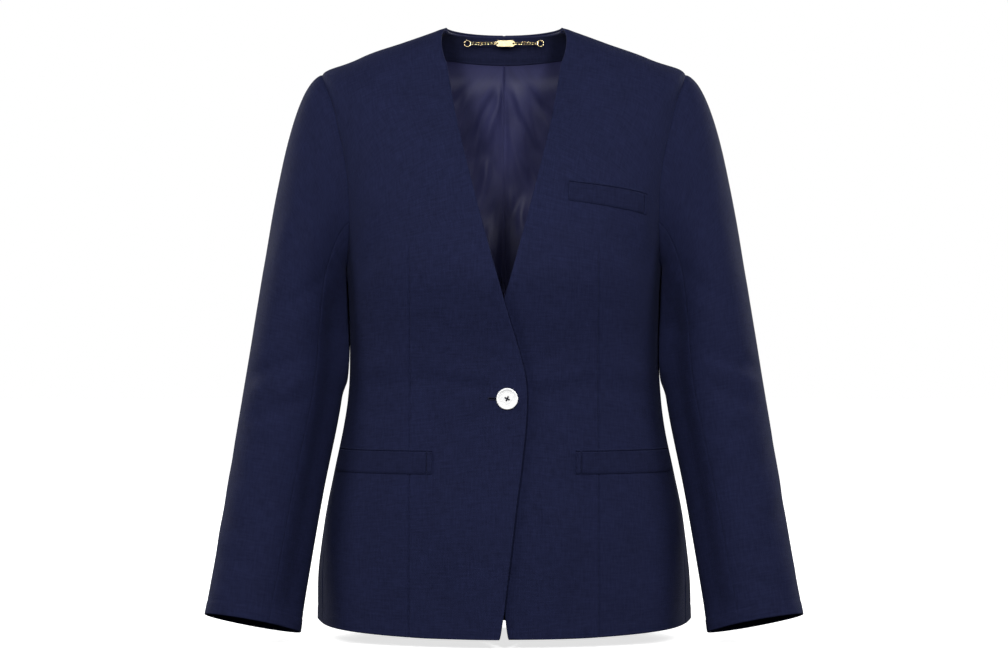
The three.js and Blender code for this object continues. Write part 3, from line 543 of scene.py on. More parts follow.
def front_places():
    """Angles and rings of a front panel, and how deep the dart's groove is at each place."""
    rows = panel_rows()
    lower = np.where(rows < 1, rows, lerp(1, EDGE_AT_UNDERARM, (rows - 1) / (LOWER_ROWS - 1)))
    upper = lerp(EDGE_AT_UNDERARM, EDGE_ROWS, (rows - LOWER_ROWS) / UPPER_ROWS)
    at = np.minimum(np.where(rows > LOWER_ROWS, upper, lower), EDGE_ROWS - 1)
    edge_z = np.maximum(column(FRONT_EDGE, "z", at), HEM_CORNER_Z)
    edge_angle, edge_ring = on_front(column(FRONT_EDGE, "x", at), edge_z)
    over = np.clip(np.where(rows > LOWER_ROWS, upper, lower) - (EDGE_ROWS - 1), 0, 1)
    in_angle = lerp(edge_angle, 0, over)
    in_ring = lerp(np.maximum(edge_ring, 0), NECK, over)

    out_angle, out_ring = outer_places(rows, (ALL_ROWS - rows) * ARMHOLE_STEP)

    def point_at(f):
        return body_point(lerp(in_angle, out_angle, f), lerp(in_ring, out_ring, f))

    middle = point_at(DART["top_fraction"])
    has_dart = (rows <= LOWER_ROWS) & (middle[:, 2] < DART["top_z"])
    zero = np.zeros_like(rows)
    f_dart = bisect(zero, zero + 1, lambda f: point_at(f)[:, 0] < DART["x"])
    tip = np.max(np.where(has_dart)[0])
    rise = np.clip((rows - rows[tip]) / (ALL_ROWS - rows[tip]), 0, 1)
    f_dart = np.where(has_dart, f_dart, lerp(f_dart[tip], DART["top_fraction"], rise))

    ends = (in_angle, out_angle, in_ring, out_ring)
    before = row_lengths(ends, zero, f_dart)
    beyond = row_lengths(ends, f_dart, zero + 1)
    near = spread(before, EDGE_CLOSE, DART_CLOSE, FRONT_COLUMNS[0])
    far = spread(beyond, DART_CLOSE, EDGE_CLOSE, FRONT_COLUMNS[1])[:, 1:]
    from_dart = np.concatenate([near - before[:, None], far], 1)
    f = np.concatenate([
        near / before[:, None] * f_dart[:, None],
        f_dart[:, None] + far / beyond[:, None] * (1 - f_dart[:, None]),
    ], 1)
    fade = smooth(0, DART["fade"], DART["top_z"] - middle[:, 2]) * has_dart
    groove = DART["groove"] * bell(from_dart, 0, DART["half_width"]) * fade[:, None]
    return *between(ends, f), groove


def back_places(low=0.0, columns=BACK_COLUMNS):
    """Rows, angles and rings of the left back panel."""
    rows = panel_rows(low)
    climb = lerp(HEM_ROW_RING, BACK_AT_UNDERARM, (rows - 1) / (LOWER_ROWS - 1))
    lower = np.where(rows < 1, rows * HEM_ROW_RING, climb)
    upper = lerp(BACK_AT_UNDERARM, NECK, (rows - LOWER_ROWS) / (UPPER_ROWS - NECK_ROWS))
    in_ring = np.where(rows <= LOWER_ROWS, lower, np.where(rows <= NECK_ROW, upper, NECK))
    in_angle = np.where(rows <= NECK_ROW, 90, 90 * (ALL_ROWS - rows) / NECK_ROWS)
    out_angle, out_ring = outer_places(rows, 180 + (rows - LOWER_ROWS) * ARMHOLE_STEP)
    zero = np.zeros_like(rows)
    ends = (in_angle, out_angle, in_ring, out_ring)
    length = row_lengths(ends, zero, zero + 1)
    f = spread(length, EDGE_CLOSE, EDGE_CLOSE, columns) / length[:, None]
    return rows, *between(ends, f)


def fold_sum(u, v, folds, pick):
    """The height of all the picked folds at u across and v up."""
    total = np.zeros_like(u)
    for k in np.where(pick)[0]:
        turn = math.radians(folds["turn"][k])
        du, dv = u - folds["x"][k], v - folds["z"][k]
        along = (du * math.cos(turn) + dv * math.sin(turn)) / folds["long"][k]
        aside = (-du * math.sin(turn) + dv * math.cos(turn)) / folds["wide"][k]
        bent = aside - FOLD["bend"] * along * along
        end = (FOLD["reach"] * along) ** FOLD["power"]
        total += folds["height"][k] * np.exp(-bent * bent) * np.exp(-end)
    return total


def ripple(u, v, kind, side=0):
    """The soft unevenness of a cloth: a few crossed waves."""
    seed, size, height = RIPPLES[kind]
    random = np.random.default_rng(seed + side)
    total = np.zeros_like(u)
    for _ in range(RIPPLE_WAVES):
        turn, phase = random.uniform(0, math.pi), random.uniform(0, 2 * math.pi)
        length = size * random.uniform(*RIPPLE_SPAN)
        total += np.sin(2 * math.pi * (u * math.cos(turn) + v * math.sin(turn)) / length + phase)
    return total * height / math.isqrt(RIPPLE_WAVES)


def overlap_lift(x, z, sign):
    """The upper front rises and the under front sinks where they overlap."""
    across = 1 - smooth(OVERLAP["from_x"], OVERLAP["to_x"], x)
    along = 1 - smooth(OVERLAP["from_z"], OVERLAP["to_z"], z)
    return sign * OVERLAP["lift"] * across * along


def under_edge(x, z):
    """How far the under front sinks below the upper front's edge, and beside it."""
    row = np.interp(-z, -FRONT_EDGE["z"][::-1], np.arange(len(FRONT_EDGE["z"]))[::-1])
    beyond = x + column(FRONT_EDGE, "x", row)
    beside = 1 - smooth(UNDER_EDGE["from"], UNDER_EDGE["to"], beyond)
    return UNDER_EDGE["deep"] * beside * (1 - smooth(UNDER_EDGE["low_z"], UNDER_EDGE["high_z"], z))


def body_folds(x, z, face, side):
    """The folds of one panel of the body, x being its distance from the centre line."""
    pick = (BODY_FOLDS["face"] == face) & (BODY_FOLDS["side"] == side)
    return fold_sum(side * x, z, BODY_FOLDS, pick) * (1 - smooth(*FOLDS_END, x))


def front_stand(points, sign):
    """How far a front's outer face stands off the body surface, for points of the left panel."""
    side = -sign
    x, z = points[..., 0], points[..., 2]
    folds = body_folds(x, z, -1, side)
    clear = smooth(*FRONT_CLEAR, x)
    away = (side * x - BUTTON["x"]) ** 2 + (z - BUTTON["z"]) ** 2
    dimple = -DIMPLE["deep"] * np.exp(-away / DIMPLE["wide"] ** 2)
    if sign < 0:
        folds = folds * clear
        dimple = dimple - under_edge(x, z)
    uneven = ripple(side * x, z, "front", side) * clear
    return overlap_lift(x, z, sign) + folds + uneven + dimple


def back_stand(points, side):
    x, z = points[..., 0], points[..., 2]
    fade = smooth(*BACK_CLEAR, x) * (1 - smooth(*NECK_CLEAR, z))
    return (body_folds(x, z, 1, side) + ripple(side * x, z, "back", side)) * fade


def ways(points):
    """How far along the cloth each grid point is from its row's and its column's start."""
    across = np.cumsum(np.linalg.norm(np.diff(points, axis=1), axis=2), 1)
    along = np.cumsum(np.linalg.norm(np.diff(points, axis=0), axis=2), 0)
    across = np.concatenate([np.zeros((points.shape[0], 1)), across], 1)
    return across, np.concatenate([np.zeros((1, points.shape[1])), along], 0)


def distance_to(points, first=False, last=False, start=False, end=False):
    """How far each grid point is, along the cloth, from the nearest of the named edges. first may
    name single rows, and then only those end at the first column's edge."""
    across, along = ways(points)
    distance = np.where(np.reshape(first, (-1, 1)), across, NO_EDGE)
    if last:
        distance = np.minimum(distance, across[:, -1:] - across)
    if start:
        distance = np.minimum(distance, along)
    if end:
        distance = np.minimum(distance, along[-1:] - along)
    return distance


def seam_roll(distance):
    return -SEAM_ROLL * np.exp(-((distance / SEAM_REACH) ** 2))


def hem_relief(distance):
    """The faint line where a turned-up hem ends, and the slightly thicker cloth below it."""
    at, over = HEM_LINE["at"], HEM_LINE["over"]
    line = -HEM_LINE["deep"] * bell(distance, at, HEM_LINE["wide"])
    return line + HEM_LINE["fold"] * (1 - smooth(at - over, at + over, distance))


def weave_of(points, offset):
    """Places in the flat cloth, in metres: across, along and a layer number. offset keeps each
    piece at its own part of the weave."""
    across, along = ways(points)
    middle = points.shape[1] // 2
    across = across - across[:, middle:middle + 1]
    along = along[:, middle:middle + 1] + 0 * along
    return np.stack([across * MM + offset[0], along * MM + offset[1], 0 * across], -1)


def pull_in(points, first=False, last=False, start=0.0, end=False):
    """Draws the named seam edges in from their line."""
    points = points.copy()
    step = unit(points[:, 1] - points[:, 0]) * SEAM_INSET
    points[:, 0] += np.where(np.reshape(first, (-1, 1)), step, 0)
    if last:
        points[:, -1] += unit(points[:, -2] - points[:, -1]) * SEAM_INSET
    if end:
        points[-1] += unit(points[-2] - points[-1]) * SEAM_INSET
    points[0] += unit(points[1] - points[0]) * start
    return points


def mirrored(points):
    return points * np.array([-1, 1, 1])


def add_object(name, data):
    item = bpy.data.objects.new(name, data)
    bpy.context.scene.collection.objects.link(item)
    return item


def add_mesh(name, verts, faces, material, weave=None):
    """A new object from points in millimetres, with its faces turned outwards."""
    verts, faces = np.asarray(verts, float), [list(face) for face in faces]
    volume = 0.0
    for size in sorted({len(face) for face in faces}):
        some = np.array([face for face in faces if len(face) == size])
        for k in range(1, size - 1):
            turned = np.cross(verts[some[:, k]], verts[some[:, k + 1]])
            volume += np.einsum("ij,ij->", verts[some[:, 0]], turned)
    if volume < 0:
        faces = [face[::-1] for face in faces]
    mesh = bpy.data.meshes.new(name)
    mesh.from_pydata((verts * MM).tolist(), [], faces)
    mesh.shade_smooth()
    if weave is not None:
        layer = mesh.attributes.new("weave", "FLOAT_VECTOR", "POINT")
        layer.data.foreach_set("vector", np.asarray(weave, np.float32).ravel())
    mesh.materials.append(material)
    return add_object(name, mesh)


def grid_faces(rows, columns, start=0, flip=False):
    i, j = np.meshgrid(np.arange(rows - 1), np.arange(columns - 1), indexing="ij")
    a = (start + i * columns + j).ravel()
    quads = np.stack([a, a + 1, a + 1 + columns, a + columns], 1)
    return quads[:, ::-1] if flip else quads


def border(rows, columns):
    """The indices round a grid's edge, in order."""
    return np.concatenate([
        np.arange(columns),
        np.arange(1, rows) * columns + columns - 1,
        (rows - 1) * columns + np.arange(columns - 2, -1, -1),
        np.arange(rows - 2, 0, -1) * columns,
    ])


def shell(name, outer, inner, material, weave, free):
    """A closed cloth wall between two grids of points. Its rim is round where the edge is free."""
    rows, columns = outer.shape[:2]
    size = rows * columns
    flat_out, flat_in = outer.reshape(-1, 3), inner.reshape(-1, 3)
    loop = border(rows, columns)
    count = len(loop)
    i, j = loop // columns, loop % columns
    inward = np.clip(i, 1, rows - 2) * columns + np.clip(j, 1, columns - 2)
    a, b = flat_out[loop], flat_in[loop]
    half = np.linalg.norm(a - b, axis=1, keepdims=True) / 2
    away = unit(a - flat_out[inward]) * half * np.where(free[i, j], 1, SEAM_RIM)[:, None]
    rims = []
    for k in range(1, RIM_STEPS + 1):
        t = math.pi * k / (RIM_STEPS + 1)
        rims.append((a + b) / 2 + (a - b) / 2 * math.cos(t) + away * math.sin(t))
    rings = [loop]
    rings += [2 * size + k * count + np.arange(count) for k in range(RIM_STEPS)]
    rings += [size + loop]
    faces = [grid_faces(rows, columns), grid_faces(rows, columns, size, True)]
    for low, high in zip(rings[:-1], rings[1:]):
        faces.append(np.stack([np.roll(low, -1), low, high, np.roll(high, -1)], 1))
    flat_weave = weave.reshape(-1, 3)
    all_weave = [flat_weave, flat_weave + [0, 0, 1]] + [flat_weave[loop]] * RIM_STEPS
    verts, faces = np.concatenate([flat_out, flat_in] + rims), np.concatenate(faces).tolist()
    return add_mesh(name, verts, faces, material, np.concatenate(all_weave))


def cloth_wall(name, outer, normal, thick, material, weave, mirror, free, **edges):
    """A cloth wall inwards from its outer face, with its seam edges drawn in."""
    walls = [pull_in(face, **edges) for face in (outer, outer - normal * thick)]
    if mirror:
        walls = [mirrored(face) for face in walls]
    return shell(name, *walls, material, weave, free)


# The sleeves
def tube_point(turn, at):
    """The sleeve below its head: at runs along SLEEVE_RINGS, turn is as on the armhole."""
    seam = lerp(SLEEVE_SEAM["armhole"], SLEEVE_SEAM["cuff"], np.clip(at / SLEEVE_END, 0, 1))
    signed = np.where(turn > 180, turn - 360, turn)
    armhole = SLEEVE_SEAM["armhole"]
    beyond = np.abs(signed) - armhole
    under = seam + beyond * (180 - seam) / (180 - armhole)
    reach = np.where(beyond < 0, np.abs(signed) * seam / armhole, under)
    angle = np.radians(np.sign(signed) * reach)
    out = column(SLEEVE_RINGS, "across", at) * np.cos(angle)
    front = column(SLEEVE_RINGS, "deep", at) * np.sin(angle)
    rise = out * column(SLEEVE_RINGS, "rise_out", at)
    rise = rise + front * column(SLEEVE_RINGS, "rise_front", at)
    return np.stack([
        column(SLEEVE_RINGS, "x", at) + out,
        column(SLEEVE_RINGS, "y", at) - front,
        column(SLEEVE_RINGS, "z", at) + rise,
    ], -1)


def head_point(turn, f):
    """The sleeve head: a smooth curve from the armhole at f 0 to the first sleeve ring at f 1."""
    start = body_point(*armhole_at(turn))
    end = tube_point(turn, 0 * turn)
    span = end - start
    distance = np.linalg.norm(span, axis=-1, keepdims=True)
    under = ((1 - np.cos(np.radians(turn))) / 2)[..., None]
    outward = lerp(SLEEVE_HEAD["outward"], SLEEVE_HEAD["under_outward"], under)
    lean = np.concatenate([outward, 0 * under, SLEEVE_HEAD["up"] * (1 - under)], -1)
    away = unit(span / distance + lean)
    along = unit(tube_point(turn, 0 * turn + SMALL_STEP) - end)
    first = start + away * (SLEEVE_HEAD["start"] * distance + SLEEVE_HEAD["start_min"])
    second = end - along * SLEEVE_HEAD["end"] * distance
    f = f[..., None]
    g = 1 - f
    return g ** 3 * start + 3 * g * g * f * first + 3 * g * f * f * second + f ** 3 * end


def sleeve_base(turn, along):
    angle = np.mod(turn, 360)
    head = head_point(angle, np.minimum(along, 0) + 1)
    return np.where((along < 0)[..., None], head, tube_point(angle, np.maximum(along, 0)))


def side_of_body(y, z):
    zero = np.zeros_like(y)
    ring = bisect(zero, zero + UNDERARM, lambda t: column(RINGS, "z_side", t) < z)
    n = column(RINGS, "square", ring)
    off = y - column(RINGS, "y_mid", ring)
    depth = np.where(off < 0, column(RINGS, "front", ring), column(RINGS, "back", ring))
    return column(RINGS, "half", ring) * np.maximum(0, 1 - np.abs(off / depth) ** n) ** (1 / n)


def sleeve_swell(base, turn, along, side):
    """How far the folds and seams move the sleeve's face out."""
    calm = SLEEVE_CALM
    arc = np.where(turn > 180, turn - 360, turn) * ARC_PER_DEGREE
    folds = dict(SLEEVE_FOLDS, x=SLEEVE_FOLDS["x"] * ARC_PER_DEGREE)
    pick = SLEEVE_FOLDS["side"] == side
    swell = ripple(arc, base[..., 2], "sleeve", side)
    swell *= bell(arc, calm["ripple_arc"], calm["ripple_wide"])
    for whole in (-1, 0, 1):
        swell += fold_sum(arc + whole * 360 * ARC_PER_DEGREE, base[..., 2], folds, pick)
    outer = 1 - calm["outer"] * bell(arc, 0, calm["outer_arc"])
    swell *= smooth(calm["head"], calm["full"], along) * outer
    swell += SLEEVE_ROLL * seam_roll(distance_to(base, first=True, last=True, start=True))
    return swell + hem_relief(distance_to(base, end=True))


def sleeve_hollow(turn, along):
    hollow = bell(turn, SLEEVE_HOLLOW["turn"], SLEEVE_HOLLOW["wide"])
    hollow *= smooth(SLEEVE_HOLLOW["from"], SLEEVE_HOLLOW["full"], along)
    less = SLEEVE_HOLLOW["less"] * smooth(*SLEEVE_HOLLOW["less_along"], along)
    return SLEEVE_HOLLOW["deep"] * hollow * (1 - less)


def sleeve_press(turn, z):
    z0, z1, z2, z3 = SLEEVE_PRESS["z"]
    height = smooth(z0, z1, z) * (1 - smooth(z2, z3, z))
    return SLEEVE_PRESS["in"] * bell(turn, SLEEVE_PRESS["turn"], SLEEVE_PRESS["wide"]) * height


def beside_body(points):
    """How far out a sleeve's points are once they clear the side of the body."""
    x, y, z = points[..., 0], points[..., 1], points[..., 2]
    body = side_of_body(y, z) + SIDE_CLEAR["gap"]
    clear = (x + body + np.hypot(x - body, SIDE_CLEAR["soft"])) / 2
    return lerp(x, clear, smooth(SIDE_CLEAR["high_z"], SIDE_CLEAR["low_z"], z))


def sleeve_normal(turn, along):
    along = np.clip(along, *SLEEVE_INNER)
    across = sleeve_base(turn + SLEEVE_TURN, along) - sleeve_base(turn - SLEEVE_TURN, along)
    down = sleeve_base(turn, along + SLEEVE_STEP) - sleeve_base(turn, along - SLEEVE_STEP)
    return unit(np.cross(across, down))


def sleeve_piece(name, side, from_turn, to_turn, columns, material):
    """The part of a sleeve between two seams, from the armhole to the cuff."""
    head = -1 + (np.arange(SLEEVE_HEAD_ROWS) / SLEEVE_HEAD_ROWS) ** HEAD_CLOSE
    head[0] = HEAD_START
    alongs = np.concatenate([head, np.linspace(0, SLEEVE_END, SLEEVE_ROWS + 1)])
    close = np.array(EDGE_CLOSE) / ARC_PER_DEGREE
    turns = spread(np.array([to_turn - from_turn]), close, close, columns)[0] + from_turn
    along, turn = np.meshgrid(alongs, turns, indexing="ij")
    base, normal = sleeve_base(turn, along), sleeve_normal(turn, along)
    full_turn = np.mod(turn, 360)
    swell = sleeve_swell(base, turn, along, side) - sleeve_hollow(full_turn, along)
    outer = base + normal * swell[..., None]
    outer[..., 0] -= sleeve_press(full_turn, base[..., 2])
    outer[..., 0] = beside_body(outer)
    free = np.zeros(outer.shape[:2], bool)
    free[-1] = True
    across, along = WEAVE_AT["sleeve"]
    weave = weave_of(base, (across * side + from_turn * MM, along))
    return cloth_wall(
        name, outer, normal, CLOTH, material, weave, side < 0, free,
        first=True, last=True, start=-SLEEVE_TUCK,
    )


# Body panels
def armhole_calm(points):
    """The share of the folds that is left beside the armhole, where the sleeve meets the body."""
    across, _ = ways(points)
    near = 1 - smooth(0, ARMHOLE_CALM["over"], across[:, -1:] - across)
    return 1 - near * smooth(ARMHOLE_CALM["low_z"], ARMHOLE_CALM["high_z"], points[..., 2])


def front_piece(name, sign, material):
    """A front. sign is 1 for the upper one, on the wearer's right, and -1 for the under one."""
    angle, ring, groove = front_places()
    points, normal = body_point(angle, ring), body_normal(angle, ring)
    edge = distance_to(points, first=True)
    stand = front_stand(points, sign) * armhole_calm(points) - groove
    stand += seam_roll(distance_to(points, last=True, end=True))
    stand += hem_relief(distance_to(points, start=True))
    stand += EDGE_FORM["ridge"] * bell(edge, EDGE_FORM["at"], EDGE_FORM["wide"])
    stand -= EDGE_FORM["turn"] * bell(edge, 0, EDGE_FORM["turn_wide"])
    if sign > 0:
        below = 1 - smooth(UPPER_EDGE["low_z"], UPPER_EDGE["high_z"], points[..., 2])
        stand += UPPER_EDGE["rise"] * np.exp(-edge / UPPER_EDGE["over"]) * below
    free = np.zeros(points.shape[:2], bool)
    free[0] = True
    free[:, 0] = True
    across, along = WEAVE_AT["front"]
    outer, weave = points + normal * stand[..., None], weave_of(points, (across * -sign, along))
    return cloth_wall(
        name, outer, normal, CLOTH, material, weave, sign > 0, free, last=True, end=True,
    )


def back_shape(side, low=0.0, columns=BACK_COLUMNS):
    """Rows, rings, points and normals of a back panel, and how far it stands off them."""
    rows, angle, ring = back_places(low, columns)
    points, normal = body_point(angle, ring), body_normal(angle, ring)
    apart = distance_to(points, first=rows <= NECK_ROW, last=True, end=True)
    stand = back_stand(points, side) * armhole_calm(points) + seam_roll(apart)
    return rows, ring, points, normal, stand


def back_wall(name, side, rows, outer, normal, thick, material):
    free = np.zeros(outer.shape[:2], bool)
    free[0] = True
    free[rows > NECK_ROW, 0] = True
    across, along = WEAVE_AT["back"]
    weave = weave_of(outer, (across * side, along))
    return cloth_wall(
        name, outer, normal, thick, material, weave, side < 0, free,
        first=True, last=True, end=True,
    )


def back_piece(name, side, material):
    rows, _, points, normal, stand = back_shape(side)
    stand = stand + hem_relief(distance_to(points, start=True))
    outer = points + normal * stand[..., None]
    return back_wall(name, side, rows, outer, normal, CLOTH, material)


def lining_piece(name, side, material):
    """A lining half, with folds of its own and the back's below them."""
    rows, ring, points, normal, stand = back_shape(side, LINING_LOW_ROW, LINING_COLUMNS)
    x, z = side * points[..., 0], points[..., 2]
    every = np.ones(len(LINING_FOLDS["x"]), bool)
    own = LINING_EASE["folds"] * fold_sum(x, z, LINING_FOLDS, every)
    own += ripple(x, z, "lining") - LINING_SLACK
    apart = distance_to(points, first=True, last=True, end=True)
    own = np.minimum(own, LINING_EASE["least"]) * smooth(0, LINING_EASE["over"], apart)
    own *= 1 - smooth(*LINING_EASE["to_facing"], ring - FACING_EDGE)
    middle = distance_to(points, first=True)
    own = own - LINING_SEAM["deep"] * bell(middle, 0, LINING_SEAM["wide"])
    outer = points + normal * (stand + LINING_STAND + own)[..., None]
    return back_wall(name, side, rows, outer, normal, LINING_WALL, material)


def facing_piece(material):
    """The strip round the inside of the back neck."""
    low, high = FACING_EDGE + FACING_GRID["low"], NECK - FACING_GRID["high"]
    ring = np.linspace(low, high, FACING_GRID["up"])[:, None]
    angle = np.linspace(FACING_GRID["side"], 180 - FACING_GRID["side"], FACING_GRID["across"])[None]
    points, normal = body_point(angle, ring), body_normal(angle, ring)
    low_edge = 1 - smooth(0, FACING_LEAN["over"], distance_to(points, start=True))
    outer = points + normal * (FACING_STAND + FACING_LEAN["out"] * low_edge)[..., None]
    inner = outer - normal * FACING_WALL
    free = np.ones(outer.shape[:2], bool)
    weave = weave_of(points, WEAVE_AT["facing"])
    return shell("cloth_neck_facing", outer, inner, material, weave, free)


# Things that lie on the fronts
def strip_places(corners, up, across):
    """Places between four corners, at shares of the way up and across."""
    (a0, r0), (a1, r1), (a2, r2), (a3, r3) = corners
    g, f = np.asarray(up)[:, None], np.asarray(across)[None, :]
    return lerp(lerp(a0, a1, f), lerp(a2, a3, f), g), lerp(lerp(r0, r1, f), lerp(r2, r3, f), g)


def place_at(x, z):
    return tuple(float(v) for v in on_front(x, z))


def hip_corners():
    """Corner places of a hip welt: inner bottom, outer bottom, inner top, outer top."""
    seam = lerp(SIDE_SEAM["hem"], SIDE_SEAM["underarm"], HIP_WELT["seam_share"])
    seam -= HIP_WELT["end_short"]
    top = place_at(HIP_WELT["inner_x"], HIP_WELT["top_z"])
    bottom = place_at(HIP_WELT["inner_x"], HIP_WELT["bottom_z"])
    return bottom, (seam - 1, bottom[1]), top, (seam, top[1])


def breast_corners():
    w = BREAST_WELT
    return (
        place_at(w["inner_x"] - 1, w["inner_bottom_z"]),
        place_at(w["outer_x"] - 2, w["outer_bottom_z"]),
        place_at(w["inner_x"], w["inner_top_z"]),
        place_at(w["outer_x"], w["outer_top_z"]),
    )


def on_cloth(angle, ring, sign, above):
    """Points and normals above a front's outer face."""
    points, normal = body_point(angle, ring), body_normal(angle, ring)
    outer = points + normal * (front_stand(points, sign) + above)[..., None]
    return (mirrored(outer), mirrored(normal)) if sign > 0 else (outer, normal)


def welt_sizes(corners):
    """A welt's length and height."""
    inner, outer, top = (body_point(*corners[k]) for k in (0, 1, 2))
    return np.linalg.norm(outer - inner), np.linalg.norm(top - inner)


def welt_piece(name, corners, sign, material, line_end):
    """A welt with the mouth of its pocket along the top and a sewn line across one end."""
    length, height = welt_sizes(corners)
    up = spread(np.array([height]), WELT_PLAIN, WELT_CLOSE, WELT_GRID["up"])[0]
    closes = (WELT_CLOSE, WELT_PLAIN) if line_end == 0 else (WELT_PLAIN, WELT_CLOSE)
    across = spread(np.array([length]), *closes, WELT_GRID["across"])[0]
    angle, ring = strip_places(corners, up / height, across / length)
    crown = WELT_FORM["crown"] * (1 - np.linspace(-1, 1, len(up))[:, None] ** WELT_FORM["power"])
    mouth = bell(height - up, WELT_LINE["from_top"], WELT_LINE["wide"])[:, None]
    from_end = across if line_end == 0 else length - across
    sewn = bell(from_end, WELT_LINE["from_end"], WELT_LINE["wide"])[None, :]
    stand = WELT_GAP + WELT_WALL + crown - WELT_LINE["deep"] * np.maximum(mouth, sewn)
    stand = stand - WELT_FORM["edge_turn"] * bell(up, 0, WELT_FORM["edge_wide"])[:, None]
    outer, _ = on_cloth(angle, ring, sign, stand)
    low, _ = on_cloth(angle, ring, sign, WELT_GAP)
    free = np.ones(outer.shape[:2], bool)
    across, along = WEAVE_AT["welt"]
    weave = weave_of(outer, (across * sign, along))[..., [1, 0, 2]]
    return shell(name, outer, low, material, weave, free)


def tube_mesh(path, radius, sides, hint, closed=False):
    """Points and faces of a round tube along a path. hint is across the path at each point."""
    path = np.asarray(path, float)
    count = len(path)
    if closed:
        ahead = unit(np.roll(path, -1, 0) - np.roll(path, 1, 0))
    else:
        ahead = unit(np.gradient(path, axis=0))
    aside = unit(np.cross(ahead, hint))
    up = np.cross(aside, ahead)
    turn = 2 * np.pi * np.arange(sides) / sides
    ring = np.cos(turn)[None, :, None] * aside[:, None] + np.sin(turn)[None, :, None] * up[:, None]
    verts = (path[:, None] + ring * radius).reshape(-1, 3)
    faces = []
    for i in range(count if closed else count - 1):
        j = (i + 1) % count
        for k in range(sides):
            n = (k + 1) % sides
            faces.append([i * sides + k, j * sides + k, j * sides + n, i * sides + n])
    if not closed:
        faces.append(list(range(sides))[::-1])
        faces.append([(count - 1) * sides + k for k in range(sides)])
    return verts, faces


def join(parts):
    """Several (points, faces) as one."""
    verts, faces, start = [], [], 0
    for points, quads in parts:
        verts.append(points)
        faces += [[start + k for k in quad] for quad in quads]
        start += len(points)
    return np.concatenate(verts), faces


def stitch_line(angle, ring, sign, above):
    """Stitches along a line of places on a front: each comes up out of the cloth and goes in."""
    points, normal = on_cloth(angle, ring, sign, above)
    way = np.concatenate([[0], np.cumsum(np.linalg.norm(np.diff(points, axis=0), axis=1))])
    parts = []
    at = STITCH["first"]
    f = np.linspace(0, 1, STITCH["steps"])[:, None]
    while at + STITCH["long"] < way[-1]:
        start, end, out = (
            np.array([np.interp(s, way, source[:, k]) for k in range(3)])
            for s, source in ((at, points), (at + STITCH["long"], points), (at, normal))
        )
        rise = STITCH["rise"] * np.sin(np.pi * f) ** STITCH["power"] - STITCH["sunk"]
        hint = unit(np.cross(end - start, out))
        path = lerp(start, end, f) + out * rise
        parts.append(tube_mesh(path, STITCH["radius"], ROUND["stitch"], hint))
        at += STITCH["long"] + STITCH["gap"]
    return parts


def welt_stitches(name, corners, sign, line_end, material):
    """The line of stitches across a welt's end."""
    share = WELT_LINE["from_end"] / welt_sizes(corners)[0]
    up = np.linspace(STITCH["margin"], 1 - STITCH["margin"], STITCH["places"])
    angle, ring = strip_places(corners, up, [abs(line_end - share)])
    above = WELT_GAP + WELT_WALL + STITCH["above"] - WELT_LINE["deep"]
    return add_mesh(name, *join(stitch_line(angle[:, 0], ring[:, 0], sign, above)), material)


def front_frame(x, z, above):
    """A frame on the upper front: its origin, and unit vectors across, up and out."""
    angle, ring = (np.array([v]) for v in place_at(-x, z))
    point, out = on_cloth(angle, ring, 1, above)
    across = unit(np.cross([0, 0, 1], out[0]))
    return point[0], across, np.cross(out[0], across), out[0]


def placed(verts, place):
    origin, across, up, out = place
    verts = np.asarray(verts, float)
    return origin + verts[:, :1] * across + verts[:, 1:2] * up + verts[:, 2:3] * out


def lathe(profile, segments):
    """A closed solid of revolution from (radius, height) pairs that start and end on the axis."""
    turn = 2 * np.pi * np.arange(segments) / segments
    verts, faces = [[0, 0, profile[0][1]]], []
    inner = profile[1:-1]
    for r, z in inner:
        verts += [[r * math.cos(t), r * math.sin(t), z] for t in turn]
    verts.append([0, 0, profile[-1][1]])
    for k in range(segments):
        n = (k + 1) % segments
        faces.append([0, 1 + n, 1 + k])
        for i in range(len(inner) - 1):
            a = 1 + i * segments
            faces.append([a + k, a + n, a + segments + n, a + segments + k])
        a = 1 + (len(inner) - 1) * segments
        faces.append([a + k, a + n, len(verts) - 1])
    return np.array(verts, float), faces


def weave_near(old, new):
    """Gives a new mesh the weave of the old one's nearest points."""
    if "weave" not in old.attributes:
        return
    values = np.zeros(3 * len(old.vertices), np.float32)
    old.attributes["weave"].data.foreach_get("vector", values)
    values = values.reshape(-1, 3)
    tree = KDTree(len(old.vertices))
    for vertex in old.vertices:
        tree.insert(vertex.co, vertex.index)
    tree.balance()
    woven = np.zeros((len(new.vertices), 3), np.float32)
    for vertex in new.vertices:
        near = tree.find_n(vertex.co, 3)
        shares = np.array([1 / (gap + 1e-7) for _, _, gap in near])
        woven[vertex.index] = shares @ values[[index for _, index, _ in near]] / shares.sum()
    if "weave" in new.attributes:
        new.attributes.remove(new.attributes["weave"])
    new.attributes.new("weave", "FLOAT_VECTOR", "POINT").data.foreach_set("vector", woven.ravel())


def cut_with(piece, verts, faces):
    """Cuts a closed solid out of a piece."""
    material = piece.data.materials[0]
    cutter = add_mesh("cutter", verts, faces, material)
    modifier = piece.modifiers.new("cut", "BOOLEAN")
    modifier.object = cutter
    modifier.operation = "DIFFERENCE"
    modifier.solver = "EXACT"
    bpy.context.view_layer.update()
    graph = bpy.context.evaluated_depsgraph_get()
    shape = piece.evaluated_get(graph)
    mesh = bpy.data.meshes.new_from_object(shape, preserve_all_data_layers=True, depsgraph=graph)
    piece.modifiers.clear()
    weave_near(piece.data, mesh)
    piece.data = mesh
    mesh.materials.clear()
    mesh.materials.append(material)
    bpy.data.objects.remove(cutter)


